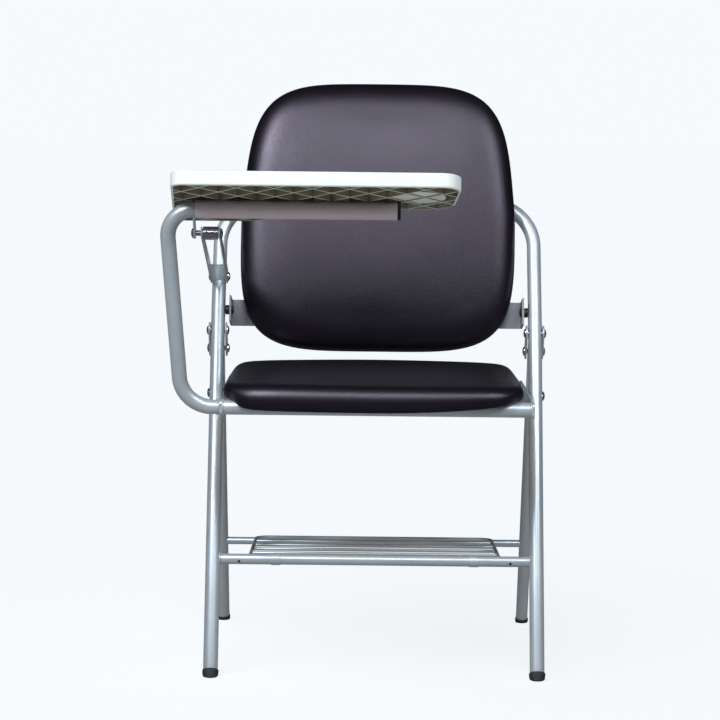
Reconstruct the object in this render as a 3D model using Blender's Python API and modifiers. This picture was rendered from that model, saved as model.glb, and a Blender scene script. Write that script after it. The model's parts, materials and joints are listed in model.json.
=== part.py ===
"""Folding study chair: flip-up seat, folding rear legs, book rack, and a writing tablet on a swinging arm.

Metres, +Z up. The chair faces -Y, and X = 0 is the plane midway between its legs while it is modelled, with
Y = 0 under the front feet. The finished chair is then set down with the middle of its bounding box over the
origin.
"""
import math

import bmesh
import bpy
from mathutils import Matrix, Vector

# Fits
GAP = 0.0003            # between pieces that touch
RUNNING = 0.0003        # radial, round a pin that turns

# Main frame: two front legs that run on up into the back, one bent tube
FRAME_TUBE = 0.022
FOOT_HALF_SPAN = 0.2430
BACK_HALF_SPAN = 0.2510
LEG_LEAN = math.radians(30.0)
BACK_TUBE_LEAN = math.radians(27.0)
BEND_HEIGHT = 0.520
TOP_HEIGHT = 0.690
BEND_RADIUS = 0.080
TOP_RADIUS = 0.075

# Rear legs
REAR_TUBE = 0.019
REAR_FOOT_BACK = 0.400
REAR_FOOT_HALF_SPAN = 0.2455
REAR_PIVOT_HALF_SPAN = 0.2500
REAR_PIVOT_HEIGHT = 0.460
REAR_PIVOT_BEHIND = 0.0344
REAR_TOP_PAST_PIVOT = 0.013
PIVOT_PLATE_THICKNESS = 0.0025
PIVOT_PLATE_RADIUS = 0.0125
PLATE_RIVET_HEIGHT = REAR_PIVOT_HEIGHT + 0.030
STUD_RADIUS = 0.005
STUD_HEIGHT = 0.3965

# Rubber feet
FOOT_WALL = 0.0010
FOOT_PAD = 0.0045
FOOT_RISE = 0.0150

# Rivets and bolts
RIVET_RADIUS = 0.004
RIVET_HEAD_RADIUS = 0.0075
RIVET_HEAD_HEIGHT = 0.0035

# Seat
SEAT_PIVOT_HEIGHT = 0.397
RAIL_INNER = 0.2245
RAIL_THICKNESS = 0.004
RAIL_FRONT = -0.0520
RAIL_REAR = 0.3330
RAIL_DROP = 0.080
RAIL_DROP_RADIUS = 0.060
FRONT_BAR_BACK = -0.040
FRONT_BAR_HEIGHT = 0.409
REAR_BAR_BACK = 0.185
REAR_BAR_TUBE = 0.019
PAN_THICKNESS = 0.012
PAN_HALF_WIDTH = 0.2070
PAN_FRONT = -0.0550
PAN_REAR = 0.2700
PAN_CORNER = 0.080
CUSHION_HALF_WIDTH = 0.2210
CUSHION_FRONT = -0.0600
CUSHION_BOW = 0.0330
CUSHION_LIP = 0.0180
CUSHION_REAR = 0.2860
CUSHION_TOP = 0.4520
CUSHION_REAR_TAPER = 0.050

# Backrest
BACKREST_LEAN = math.radians(14.0)
BACKREST_HALF_WIDTH = 0.2170
BACKREST_BOTTOM = 0.456
BACKREST_TOP = 0.871
BACKREST_TAPER = 0.055
BACKREST_PAD = 0.036
BACKREST_EDGE = 0.42
SHELL_THICKNESS = 0.010
SHELL_INSET = 0.010
BACKREST_STANDOFF = 0.003
PAD_RADIUS = 0.009
PAD_HALF_SPAN = 0.100
BRACKET_HEIGHT = 0.042
BRACKET_SHEET = 0.003
BRACKET_OUTER = 0.2330
BRACKET_REACH = 0.060
BRACKET_EAR = 0.034
BACK_BOLT_HEIGHT = 0.521

# Tablet arm and stay
ARM_TUBE = 0.022
ARM_FOOT_RADIUS = 0.048
ARM_TOP_RADIUS = 0.040
ARM_FOOT_OUT = RAIL_INNER + RAIL_THICKNESS + 0.055
ARM_TOP_OUT = BACK_HALF_SPAN + 0.051
ARM_TOP_FORWARD = 0.110
ARM_TOP_HEIGHT = 0.699
ARM_TOP_END = 0.008
SPINDLE_TUBE = 0.017
SPINDLE_DEPTH = 0.075
STAY_PIVOT_HEIGHT = BACK_BOLT_HEIGHT + 0.051
STAY_PIN_FORWARD = 0.090
STAY_PIN_HEIGHT = 0.664
STAY_SHEET = 0.002
STAY_HEIGHT = 0.022
STAY_SKEW = 0.0115
STAY_SLOT_BACK = 0.0080
STAY_SLOT_FRONT = 0.0110
STAY_SLOT_PLAY = 0.0008
STAY_NOSE_WALL = 0.0023
STAY_WEB_START = 0.032
STAY_WEB_END = 0.190
PIN_RADIUS = 0.004
ROLLER_RADIUS = 0.0095
LUG_THICKNESS = 0.003

# Tablet
SLEEVE_TUBE = 0.026
SLEEVE_LEFT = -0.2600
SLEEVE_RIGHT = 0.0250
PLUG_FLANGE = 0.0045
PLUG_SPIGOT = 0.010
TABLET_TILT = math.radians(14.6)
TABLET_AHEAD = 0.097
TABLET_HEIGHT = 0.021
TABLET_SKIN = 0.0035
TABLET_RIM = 0.0035
TABLET_EDGE = 0.0025
RIB_THICKNESS = 0.0022
RIB_PITCH = 0.0370
CUP_RADIUS = 0.0350
CUP_WALL = 0.0030
CUP_DEPTH = 0.0130
CUP_X = 0.0550
CUP_BACK = 0.0760
TABLET_LEFT_FRONT = -0.2890
TABLET_LEFT_REAR = -0.3020
TABLET_RIGHT = 0.1140
TABLET_DEEP = 0.2450
TABLET_SHALLOW = 0.1470
SCOOP_START = -0.190
SCOOP_START_RADIUS = 0.080
SCOOP_END = -0.030
SCOOP_END_RADIUS = 0.120

# Book rack
RACK_FRONT_HEIGHT = 0.160
RACK_FRONT_TUBE = 0.016
RACK_REAR_HEIGHT = 0.137
RACK_REAR_TUBE = 0.012
RACK_WIRE = 0.006
RACK_REST = math.radians(50.0)
RACK_WIDTH = 0.387
RACK_CORNER = 0.020
RACK_CROSS_WIRES = 4
CLIP_WIDTH = 0.014
CLIP_WALL = 0.0025
CLIP_HALF_SPAN = 0.150

# Facets
ROUND_STEPS = 20
TUBE_SIDES_LEVEL = 4
ARC_STEP = math.radians(12.0)


def leg_axis(height):
    """Half span and depth of the front leg's axis at a height below its bend."""
    share = height / BEND_HEIGHT
    return FOOT_HALF_SPAN + (BACK_HALF_SPAN - FOOT_HALF_SPAN) * share, height * math.tan(LEG_LEAN)


REAR_PIVOT_BACK = leg_axis(REAR_PIVOT_HEIGHT)[1] + REAR_PIVOT_BEHIND


def back_axis(height):
    """Depth of the back tube's axis at a height above the bend."""
    return BEND_HEIGHT * math.tan(LEG_LEAN) + (height - BEND_HEIGHT) * math.tan(BACK_TUBE_LEAN)


def rear_axis(height):
    """Half span and depth of the rear leg's axis at a height."""
    share = height / REAR_PIVOT_HEIGHT
    half_span = REAR_FOOT_HALF_SPAN + (REAR_PIVOT_HALF_SPAN - REAR_FOOT_HALF_SPAN) * share
    return half_span, REAR_FOOT_BACK + (REAR_PIVOT_BACK - REAR_FOOT_BACK) * share


SEAT_PIVOT = Vector((0.0, leg_axis(SEAT_PIVOT_HEIGHT)[1], SEAT_PIVOT_HEIGHT))
REAR_PIVOT = Vector((0.0, REAR_PIVOT_BACK, REAR_PIVOT_HEIGHT))
ARM_PIVOT = Vector((0.0, FRONT_BAR_BACK, FRONT_BAR_HEIGHT))
TABLET_PIVOT = Vector((0.0, -ARM_TOP_FORWARD, ARM_TOP_HEIGHT))
STAY_PIVOT = Vector((0.0, back_axis(STAY_PIVOT_HEIGHT), STAY_PIVOT_HEIGHT))
STAY_PIN = Vector((0.0, -STAY_PIN_FORWARD, STAY_PIN_HEIGHT))
RACK_PIVOT = Vector((0.0, leg_axis(RACK_FRONT_HEIGHT)[1], RACK_FRONT_HEIGHT))
PAN_BOTTOM = FRONT_BAR_HEIGHT + FRAME_TUBE / 2 + GAP
CUSHION_SKIRT = PAN_BOTTOM + GAP


def fresh_scene():
    for old in list(bpy.data.objects):
        bpy.data.objects.remove(old, do_unlink=True)
    for name in ("study_chair", "cutters"):
        old = bpy.data.collections.get(name)
        if old:
            bpy.data.collections.remove(old)
        bpy.context.scene.collection.children.link(bpy.data.collections.new(name))


def finish(name, colour, roughness, metallic):
    made = bpy.data.materials.new(name)
    made.use_nodes = True
    shader = made.node_tree.nodes["Principled BSDF"]
    shader.inputs["Base Color"].default_value = (*colour, 1.0)
    shader.inputs["Roughness"].default_value = roughness
    shader.inputs["Metallic"].default_value = metallic
    return made


fresh_scene()
SILVER = finish("silver_enamel", (0.52, 0.52, 0.54), 0.35, 0.6)
CHROME = finish("zinc_plated_steel", (0.80, 0.80, 0.82), 0.15, 1.0)
RUBBER = finish("black_rubber", (0.02, 0.02, 0.02), 0.8, 0.0)
NYLON = finish("black_nylon", (0.03, 0.03, 0.03), 0.5, 0.0)
LEATHERETTE = finish("dark_leatherette", (0.035, 0.028, 0.035), 0.4, 0.0)
PLYWOOD = finish("plywood", (0.45, 0.32, 0.20), 0.6, 0.0)
SHELL_PLASTIC = finish("black_shell_plastic", (0.03, 0.03, 0.03), 0.5, 0.0)
TABLET_PLASTIC = finish("ivory_polypropylene", (0.80, 0.81, 0.76), 0.4, 0.0)


def body_empty(name, place, parent=None):
    empty = bpy.data.objects.new(name, None)
    bpy.data.collections["study_chair"].objects.link(empty)
    empty.location = place
    if parent:
        empty.parent = parent
        empty.matrix_parent_inverse = chair_place(parent).inverted()
    return empty


def chair_place(empty):
    """Where a body's empty stands in the chair's own frame."""
    return Matrix.Translation(empty.location)


CHAIR = body_empty("chair", (0.0, 0.0, 0.0))
FRAME = body_empty("frame_body", (0.0, 0.0, 0.0), CHAIR)
SEAT = body_empty("seat_body", SEAT_PIVOT, FRAME)
REAR = body_empty("rear_legs_body", REAR_PIVOT, FRAME)
RACK = body_empty("rack_body", RACK_PIVOT, FRAME)
STAY = body_empty("stay_body", STAY_PIVOT, FRAME)
ARM = body_empty("arm_body", ARM_PIVOT, SEAT)
TABLET = body_empty("tablet_body", TABLET_PIVOT, ARM)


def add(name, data, body, material=None, matrix=None):
    """An object of a body, or a cutter where it has no material."""
    obj = bpy.data.objects.new(name, data)
    bpy.data.collections["study_chair" if material else "cutters"].objects.link(obj)
    if matrix:
        obj.matrix_basis = matrix
    obj.parent = body
    obj.matrix_parent_inverse = chair_place(body).inverted()
    if material:
        data.materials.append(material)
    else:
        obj.hide_render = True
        obj.display_type = "WIRE"
    return obj


def as_mesh(obj, material=None):
    """The evaluated object as a welded mesh object of the same name and place."""
    bpy.context.view_layer.update()
    depsgraph = bpy.context.evaluated_depsgraph_get()
    mesh = bpy.data.meshes.new_from_object(obj.evaluated_get(depsgraph))
    mesh.materials.clear()
    shape = bmesh.new()
    shape.from_mesh(mesh)
    bmesh.ops.remove_doubles(shape, verts=shape.verts, dist=0.00001)
    shape.to_mesh(mesh)
    shape.free()
    name, body, matrix = obj.name, obj.parent, obj.matrix_basis.copy()
    bpy.data.objects.remove(obj, do_unlink=True)
    return add(name, mesh, body, material, matrix)


def smooth(obj):
    obj.data.shade_smooth()
    obj.data.set_sharp_from_angle(angle=math.radians(35.0))
    return obj


def cut(target, cutter, operation="DIFFERENCE"):
    step = target.modifiers.new(cutter.name, "BOOLEAN")
    step.operation = operation
    step.object = cutter
    return target


def bent_path(corners, radii):
    """Points of a bent tube: straight runs between corners, with an arc of the given radius at each."""
    corners = [Vector(corner) for corner in corners]
    points = [corners[0]]
    for before, corner, after, radius in zip(corners, corners[1:], corners[2:], radii):
        inward = (before - corner).normalized()
        onward = (after - corner).normalized()
        turn = math.pi - inward.angle(onward)
        centre = corner + (inward + onward).normalized() * radius / math.cos(turn / 2)
        start = corner + inward * radius * math.tan(turn / 2) - centre
        axis = inward.cross(onward).normalized()
        steps = max(2, math.ceil(turn / ARC_STEP))
        for i in range(steps + 1):
            points.append(centre + Matrix.Rotation(-turn * i / steps, 3, axis) @ start)
    points.append(corners[-1])
    return points


def tube(name, points, diameter, body, material=None, closed=False):
    curve = bpy.data.curves.new(name, "CURVE")
    curve.dimensions = "3D"
    curve.bevel_depth = diameter / 2
    curve.bevel_resolution = TUBE_SIDES_LEVEL
    curve.use_fill_caps = True
    spline = curve.splines.new("POLY")
    spline.points.add(len(points) - 1)
    for target, point in zip(spline.points, points):
        target.co = (*point, 1.0)
    spline.use_cyclic_u = closed
    return add(name, curve, body, material)


def arc(centre, radius, start, end, steps=ROUND_STEPS // 2):
    """Points round part of a circle, in degrees."""
    angles = [math.radians(start + (end - start) * i / steps) for i in range(steps + 1)]
    return [(centre[0] + radius * math.cos(a), centre[1] + radius * math.sin(a)) for a in angles]


def circle(centre, radius):
    return arc(centre, radius, 0.0, 360.0, ROUND_STEPS)[:-1]


def obround(first, second, radius, far_radius=None):
    """Outline round two points, like a link plate."""
    heading = math.degrees(math.atan2(second[1] - first[1], second[0] - first[0]))
    far = far_radius or radius
    near_end = arc(first, radius, heading + 90.0, heading + 270.0)
    return near_end + arc(second, far, heading - 90.0, heading + 90.0)


def rounded(corners):
    """A flat outline from corners of (x, y, radius)."""
    outline = []
    count = len(corners)
    for i, (x, y, radius) in enumerate(corners):
        before = Vector(corners[i - 1][:2]) - Vector((x, y))
        after = Vector(corners[(i + 1) % count][:2]) - Vector((x, y))
        turn = math.pi - before.angle(after)
        if radius == 0.0:
            outline.append((x, y))
            continue
        steps = max(2, math.ceil(turn / ARC_STEP))
        corner = Vector((x, y))
        halfway = (before.normalized() + after.normalized()).normalized()
        middle = corner + halfway * radius / math.cos(turn / 2)
        start = corner + before.normalized() * radius * math.tan(turn / 2) - middle
        side = -1.0 if before.cross(after) < 0.0 else 1.0
        for k in range(steps + 1):
            outline.append(tuple(middle + Matrix.Rotation(-side * turn * k / steps, 2) @ start))
    return outline


def sheet(name, outline, holes, thickness, body, material=None, matrix=None, edge=0.0):
    """A flat outline with holes, thickened evenly to both sides of its plane, its edges rounded if asked."""
    curve = bpy.data.curves.new(name, "CURVE")
    curve.dimensions = "2D"
    curve.fill_mode = "BOTH"
    curve.extrude = thickness / 2 - edge
    curve.bevel_depth = edge
    curve.bevel_resolution = 1
    curve.offset = -edge
    for loop in [outline] + list(holes):
        spline = curve.splines.new("POLY")
        spline.points.add(len(loop) - 1)
        for target, (x, y) in zip(spline.points, loop):
            target.co = (x, y, 0.0, 1.0)
        spline.use_cyclic_u = True
    return as_mesh(add(name, curve, body, material, matrix), material)


def side_plane(x):
    """Places a flat outline of (depth, height) points at a place across the chair."""
    upright = Matrix.Rotation(math.pi / 2, 4, "Z") @ Matrix.Rotation(math.pi / 2, 4, "X")
    return Matrix.Translation((x, 0.0, 0.0)) @ upright


def rod(name, x_from, x_to, centre, radius, body, material=None):
    """A round rod across the chair, at a (depth, height) centre."""
    bpy.ops.mesh.primitive_cylinder_add(vertices=ROUND_STEPS, radius=radius, depth=abs(x_to - x_from))
    made = bpy.context.object
    mesh = made.data
    bpy.data.objects.remove(made, do_unlink=True)
    middle = ((x_from + x_to) / 2, centre[0], centre[1])
    place = Matrix.Translation(middle) @ Matrix.Rotation(math.pi / 2, 4, "Y")
    obj = add(name, mesh, body, material, place)
    return smooth(obj) if material else obj


def turned(name, profile, matrix, body, material=None):
    """A profile of (radius, height), down its outer side, turned round its local Z axis."""
    mesh = bpy.data.meshes.new(name)
    shape = bmesh.new()
    verts = [shape.verts.new((radius, 0.0, height)) for radius, height in profile]
    for first, second in zip(verts, verts[1:]):
        shape.edges.new((first, second))
    shape.to_mesh(mesh)
    shape.free()
    obj = add(name, mesh, body, material, matrix)
    screw = obj.modifiers.new("turn", "SCREW")
    screw.steps = ROUND_STEPS
    screw.render_steps = ROUND_STEPS
    screw.use_merge_vertices = True
    screw.merge_threshold = 0.00001
    return smooth(as_mesh(obj, material))


def along_x(x, centre, outward=1.0):
    """Places a turned piece with its local Z along +X or -X."""
    return Matrix.Translation((x, centre[0], centre[1])) @ Matrix.Rotation(outward * math.pi / 2, 4, "Y")


def dome(radius, height, base, rising):
    """Profile points of a domed rivet head on a base height, from its pole to its rim."""
    steps = 4
    points = []
    for i in range(steps + 1):
        angle = math.pi / 2 * i / steps
        points.append((radius * math.sin(angle), base + rising * height * math.cos(angle)))
    return points


def rivet(name, side, x_inner, x_outer, centre, body, radius=RIVET_RADIUS):
    """A rivet across the chair with a domed head at each end, on the side given by +1 or -1."""
    length = x_outer - x_inner
    head = RIVET_HEAD_RADIUS
    profile = dome(head, RIVET_HEAD_HEIGHT, length, 1.0) + [(radius, length), (radius, 0.0)]
    profile += dome(head, RIVET_HEAD_HEIGHT, 0.0, -1.0)[::-1]
    return turned(name, profile, along_x(side * x_inner, centre, side), body, CHROME)


SIDES = (("left", -1.0), ("right", 1.0))


def rubber_foot(name, floor_point, axis, diameter, body):
    """A rubber cup on a slanting leg, cut flat where it stands on the floor."""
    inner = diameter / 2 + GAP
    outer = inner + FOOT_WALL
    slope = math.sqrt(1.0 - axis.z ** 2)
    seat = (FOOT_PAD + diameter / 2 * slope) / axis.z - GAP
    rim = FOOT_RISE / axis.z
    below = -outer * slope / axis.z - FOOT_PAD
    profile = [(0.0, seat), (inner, seat), (inner, rim), (outer, rim), (outer, below), (0.0, below)]
    turn = Vector((0.0, 0.0, 1.0)).rotation_difference(axis).to_matrix().to_4x4()
    foot = turned(name, profile, Matrix.Translation(floor_point) @ turn, body, RUBBER)
    shape = bmesh.new()
    shape.from_mesh(foot.data)
    shape.transform(foot.matrix_basis)
    everything = shape.verts[:] + shape.edges[:] + shape.faces[:]
    ring = bmesh.ops.bisect_plane(shape, geom=everything, plane_co=(0.0, 0.0, 0.0),
                                  plane_no=(0.0, 0.0, -1.0), clear_outer=True)
    edges = [item for item in ring["geom_cut"] if isinstance(item, bmesh.types.BMEdge)]
    bmesh.ops.edgenet_fill(shape, edges=edges)
    bmesh.ops.recalc_face_normals(shape, faces=shape.faces)
    shape.to_mesh(foot.data)
    shape.free()
    foot.matrix_basis = Matrix()
    return smooth(foot)


def tube_end(floor_point, axis, diameter):
    """Where a slanting leg's tube stops inside its rubber foot."""
    slope = math.sqrt(1.0 - axis.z ** 2)
    return floor_point + axis * (FOOT_PAD + diameter / 2 * slope) / axis.z


def frame_points():
    bend_y = BEND_HEIGHT * math.tan(LEG_LEAN)
    top_y = back_axis(TOP_HEIGHT)
    left = [Vector((-FOOT_HALF_SPAN, 0.0, 0.0)), Vector((-BACK_HALF_SPAN, bend_y, BEND_HEIGHT)),
            Vector((-BACK_HALF_SPAN, top_y, TOP_HEIGHT))]
    right = [Vector((-point.x, point.y, point.z)) for point in reversed(left)]
    corners = left + right
    axis = (left[1] - left[0]).normalized()
    corners[0] = tube_end(left[0], axis, FRAME_TUBE)
    corners[-1] = Vector((-corners[0].x, corners[0].y, corners[0].z))
    return bent_path(corners, [BEND_RADIUS, TOP_RADIUS, TOP_RADIUS, BEND_RADIUS]), axis


def main_frame():
    points, axis = frame_points()
    frame = smooth(as_mesh(tube("main_frame", points, FRAME_TUBE, FRAME, SILVER), SILVER))
    reach = BACK_HALF_SPAN + FRAME_TUBE
    for name, centre, radius in (("seat_pivot_drill", SEAT_PIVOT.yz, RIVET_RADIUS + RUNNING),
                                 ("plate_rivet_drill", plate_rivet_centre(), RIVET_RADIUS + GAP),
                                 ("back_bolt_drill", back_bolt_centre(), RIVET_RADIUS + GAP)):
        cut(frame, rod(name, -reach, reach, centre, radius, FRAME))
    cut(frame, rod("stay_pivot_drill", -reach, 0.0, STAY_PIVOT.yz, RIVET_RADIUS + GAP, FRAME))
    for name, side in SIDES:
        lean = Vector((-side * axis.x, axis.y, axis.z))
        rubber_foot(f"front_foot_{name}", Vector((side * FOOT_HALF_SPAN, 0.0, 0.0)), lean, FRAME_TUBE, FRAME)


def plate_rivet_centre():
    return leg_axis(PLATE_RIVET_HEIGHT)[1], PLATE_RIVET_HEIGHT


def back_bolt_centre():
    return back_axis(BACK_BOLT_HEIGHT), BACK_BOLT_HEIGHT


def clearance_tube(name, points, diameter, body):
    """A cutter that leaves the usual gap round a tube."""
    return as_mesh(tube(name, points, diameter + 2 * GAP, body))


def rear_leg_points(side):
    axis = Vector((side * (REAR_PIVOT_HALF_SPAN - REAR_FOOT_HALF_SPAN), REAR_PIVOT_BACK - REAR_FOOT_BACK,
                   REAR_PIVOT_HEIGHT)).normalized()
    floor_point = Vector((side * REAR_FOOT_HALF_SPAN, REAR_FOOT_BACK, 0.0))
    pivot = Vector((side * REAR_PIVOT_HALF_SPAN, REAR_PIVOT_BACK, REAR_PIVOT_HEIGHT))
    return [tube_end(floor_point, axis, REAR_TUBE), pivot + axis * REAR_TOP_PAST_PIVOT], floor_point, axis


def rear_legs():
    stud_y = rear_axis(STUD_HEIGHT)[1]
    stud_span = rear_axis(STUD_HEIGHT)[0]
    reach = REAR_PIVOT_HALF_SPAN + REAR_TUBE
    pivot_drill = rod("rear_pivot_drill", -reach, reach, REAR_PIVOT.yz, RIVET_RADIUS + GAP, REAR)
    shank = STUD_RADIUS * 0.6
    stud_drill = rod("stud_drill", -stud_span, stud_span, (stud_y, STUD_HEIGHT), shank + GAP, REAR)
    bar_y = rear_axis(RACK_REAR_HEIGHT)[1]
    bar_span = rear_axis(RACK_REAR_HEIGHT)[0]
    bar = rod("rack_rear_bar", -bar_span, bar_span, (bar_y, RACK_REAR_HEIGHT), RACK_REAR_TUBE / 2, REAR,
              SILVER)
    for name, side in SIDES:
        points, floor_point, axis = rear_leg_points(side)
        leg = smooth(as_mesh(tube(f"rear_leg_{name}", points, REAR_TUBE, REAR, SILVER), SILVER))
        cut(cut(leg, pivot_drill), stud_drill)
        rubber_foot(f"rear_foot_{name}", floor_point, axis, REAR_TUBE, REAR)
        cut(bar, clearance_tube(f"rear_leg_room_{name}", points, REAR_TUBE, REAR))
        tip = RAIL_INNER - 0.001
        base = stud_span - REAR_TUBE / 2 - GAP
        profile = [(0.0, base - tip), (STUD_RADIUS, base - tip), (STUD_RADIUS, 0.0), (shank, 0.0),
                   (shank, -REAR_TUBE / 3), (0.0, -REAR_TUBE / 3)]
        place = along_x(side * base, (stud_y, STUD_HEIGHT), -side)
        turned(f"seat_stop_stud_{name}", profile, place, REAR, NYLON)
        inner = plate_place()[0] - PIVOT_PLATE_THICKNESS / 2 - GAP
        outer = plate_place()[1] + PIVOT_PLATE_THICKNESS / 2 + GAP
        rivet(f"rear_leg_rivet_{name}", side, inner, outer, REAR_PIVOT.yz, REAR)


def plate_place():
    """Where the inner and outer pivot plates stand, each clear of the frame tube."""
    off = FRAME_TUBE / 2 + GAP + PIVOT_PLATE_THICKNESS / 2
    return leg_axis(REAR_PIVOT_HEIGHT - PIVOT_PLATE_RADIUS)[0] - off, BACK_HALF_SPAN + off


def pivot_plates():
    rivet_centre = plate_rivet_centre()
    outline = obround(rivet_centre, REAR_PIVOT.yz, PIVOT_PLATE_RADIUS)
    holes = [circle(rivet_centre, RIVET_RADIUS + GAP), circle(REAR_PIVOT.yz, RIVET_RADIUS + RUNNING)]
    for name, side in SIDES:
        for where, x in zip(("inner", "outer"), plate_place()):
            sheet(f"pivot_plate_{where}_{name}", outline, holes, PIVOT_PLATE_THICKNESS, FRAME, SILVER,
                  side_plane(side * x))
        inner = plate_place()[0] - PIVOT_PLATE_THICKNESS / 2 - GAP
        outer = plate_place()[1] + PIVOT_PLATE_THICKNESS / 2 + GAP
        rivet(f"plate_rivet_{name}", side, inner, outer, rivet_centre, FRAME)


def rack_front_bar():
    points, _ = frame_points()
    half = leg_axis(RACK_FRONT_HEIGHT)[0]
    bar = rod("rack_front_bar", -half, half, RACK_PIVOT.yz, RACK_FRONT_TUBE / 2, FRAME, SILVER)
    cut(bar, clearance_tube("frame_room", points, FRAME_TUBE, FRAME))


def backrest_plane(height, ahead):
    """A point of the backrest's middle plane, a distance in front of the shell's back face."""
    back = back_axis(TOP_HEIGHT) - (FRAME_TUBE / 2 + BACKREST_STANDOFF) / math.cos(BACKREST_LEAN)
    depth = back + (height - TOP_HEIGHT) * math.tan(BACKREST_LEAN)
    return Vector((0.0, depth - ahead * math.cos(BACKREST_LEAN), height + ahead * math.sin(BACKREST_LEAN)))


def superellipse(u, v, power):
    """Moves a point of the unit square onto a rounded square, ring by ring."""
    ring = max(abs(u), abs(v))
    if ring == 0.0:
        return 0.0, 0.0
    length = math.hypot(u, v)
    c, s = u / length, v / length
    reach = ring / (abs(c) ** power + abs(s) ** power) ** (1.0 / power)
    return reach * c, reach * s


def soft_pad(name, cells, shape_at, body, material, matrix=None):
    """A closed pad: a block divided into cells, each point placed by shape_at(u, v, w), then subdivided."""
    mesh = bpy.data.meshes.new(name)
    shape = bmesh.new()
    bmesh.ops.create_cube(shape, size=2.0)
    for axis, count in enumerate(cells):
        along = [e for e in shape.edges if abs((e.verts[0].co - e.verts[1].co)[axis]) > 0.001]
        if count > 1:
            bmesh.ops.subdivide_edges(shape, edges=along, cuts=count - 1, use_grid_fill=True)
    for vert in shape.verts:
        vert.co = shape_at(*vert.co)
    shape.to_mesh(mesh)
    shape.free()
    obj = add(name, mesh, body, material, matrix)
    soften = obj.modifiers.new("soften", "SUBSURF")
    soften.levels = 1
    soften.render_levels = 1
    obj.data.shade_smooth()
    return obj


def backrest_frame():
    """Local axes of the backrest: x across, y up along it, z towards the sitter."""
    middle = backrest_plane((BACKREST_BOTTOM + BACKREST_TOP) / 2, 0.0)
    return Matrix.Translation(middle) @ Matrix.Rotation(math.pi / 2 - BACKREST_LEAN, 4, "X")


def backrest():
    half_height = (BACKREST_TOP - BACKREST_BOTTOM) / 2 / math.cos(BACKREST_LEAN)
    place = backrest_frame()
    outline = []
    steps = 48
    for i in range(steps):
        angle = 2.0 * math.pi * i / steps
        c, s = math.cos(angle), math.sin(angle)
        reach = 1.0 / (abs(c) ** 4.6 + abs(s) ** 4.6) ** (1.0 / 4.6)
        taper = 1.0 - BACKREST_TAPER * max(reach * s, 0.0)
        across = (BACKREST_HALF_WIDTH - SHELL_INSET) * reach * c * taper
        outline.append((across, (half_height - SHELL_INSET) * reach * s))
    shell_place = place @ Matrix.Translation((0.0, 0.0, SHELL_THICKNESS / 2))
    sheet("backrest_shell", outline, [], SHELL_THICKNESS, FRAME, SHELL_PLASTIC, shell_place)

    def pad_point(u, v, w):
        x, y = superellipse(u, v, 5.0)
        fall = max(abs(u), abs(v)) ** 3
        crown = BACKREST_PAD * (1.0 - BACKREST_EDGE * fall)
        draw_in = 1.0 - 0.020 * (w < 0.0) * fall
        taper = 1.0 - BACKREST_TAPER * max(y, 0.0)
        return (x * BACKREST_HALF_WIDTH * 1.012 * draw_in * taper, y * half_height * 1.012 * draw_in,
                SHELL_THICKNESS + GAP + crown * (w + 1.0) / 2.0)

    soft_pad("backrest_cushion", (8, 8, 2), pad_point, FRAME, LEATHERETTE, place)
    cross_run = place.inverted() @ Vector((0.0, back_axis(TOP_HEIGHT), TOP_HEIGHT))
    for name, side in SIDES:
        spot = place @ Matrix.Translation((side * PAD_HALF_SPAN, cross_run.y, -BACKREST_STANDOFF / 2))
        sheet(f"backrest_pad_{name}", circle((0.0, 0.0), PAD_RADIUS), [], BACKREST_STANDOFF - 2 * GAP, FRAME,
              RUBBER, spot)


def backrest_brackets():
    bolt_y, bolt_z = back_bolt_centre()
    place = backrest_frame()
    bolt_local = place.inverted() @ Vector((0.0, bolt_y, bolt_z))
    inner = BRACKET_OUTER - BRACKET_REACH
    back = -GAP - BRACKET_SHEET
    ear_end = bolt_local.z + BRACKET_EAR / 2
    flat = place @ Matrix.Translation((0.0, bolt_local.y, 0.0)) @ Matrix.Rotation(math.pi / 2, 4, "X")
    for name, side in SIDES:
        face = BRACKET_OUTER - BRACKET_SHEET
        outline = [(inner, back), (BRACKET_OUTER, back), (BRACKET_OUTER, ear_end), (face, ear_end),
                   (face, -GAP), (inner, -GAP)]
        outline = [(side * x, z) for x, z in outline]
        bracket = sheet(f"backrest_bracket_{name}", outline, [], BRACKET_HEIGHT, FRAME, SILVER, flat)
        drill = rod(f"bracket_drill_{name}", side * (inner - 0.01), side * (BRACKET_OUTER + 0.01),
                    (bolt_y, bolt_z), RIVET_RADIUS + GAP, FRAME)
        cut(bracket, drill)
        end = BACK_HALF_SPAN + FRAME_TUBE / 2 - 0.001
        inside = BRACKET_OUTER - BRACKET_SHEET - GAP
        length = end - inside
        profile = dome(RIVET_HEAD_RADIUS, RIVET_HEAD_HEIGHT, length, 1.0)
        profile += [(RIVET_RADIUS, length), (RIVET_RADIUS, 0.0), (0.0, 0.0)]
        turned(f"backrest_bolt_{name}", profile, along_x(side * end, (bolt_y, bolt_z), -side), FRAME, NYLON)
        outer = BACK_HALF_SPAN - FRAME_TUBE / 2 - GAP
        washer_length = outer - BRACKET_OUTER - GAP
        bore = RIVET_RADIUS + GAP
        ring = [(bore, washer_length), (RIVET_HEAD_RADIUS, washer_length), (RIVET_HEAD_RADIUS, 0.0),
                (bore, 0.0), (bore, washer_length)]
        spot = along_x(side * (BRACKET_OUTER + GAP), (bolt_y, bolt_z), side)
        turned(f"backrest_spacer_{name}", ring, spot, FRAME, NYLON)


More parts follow.
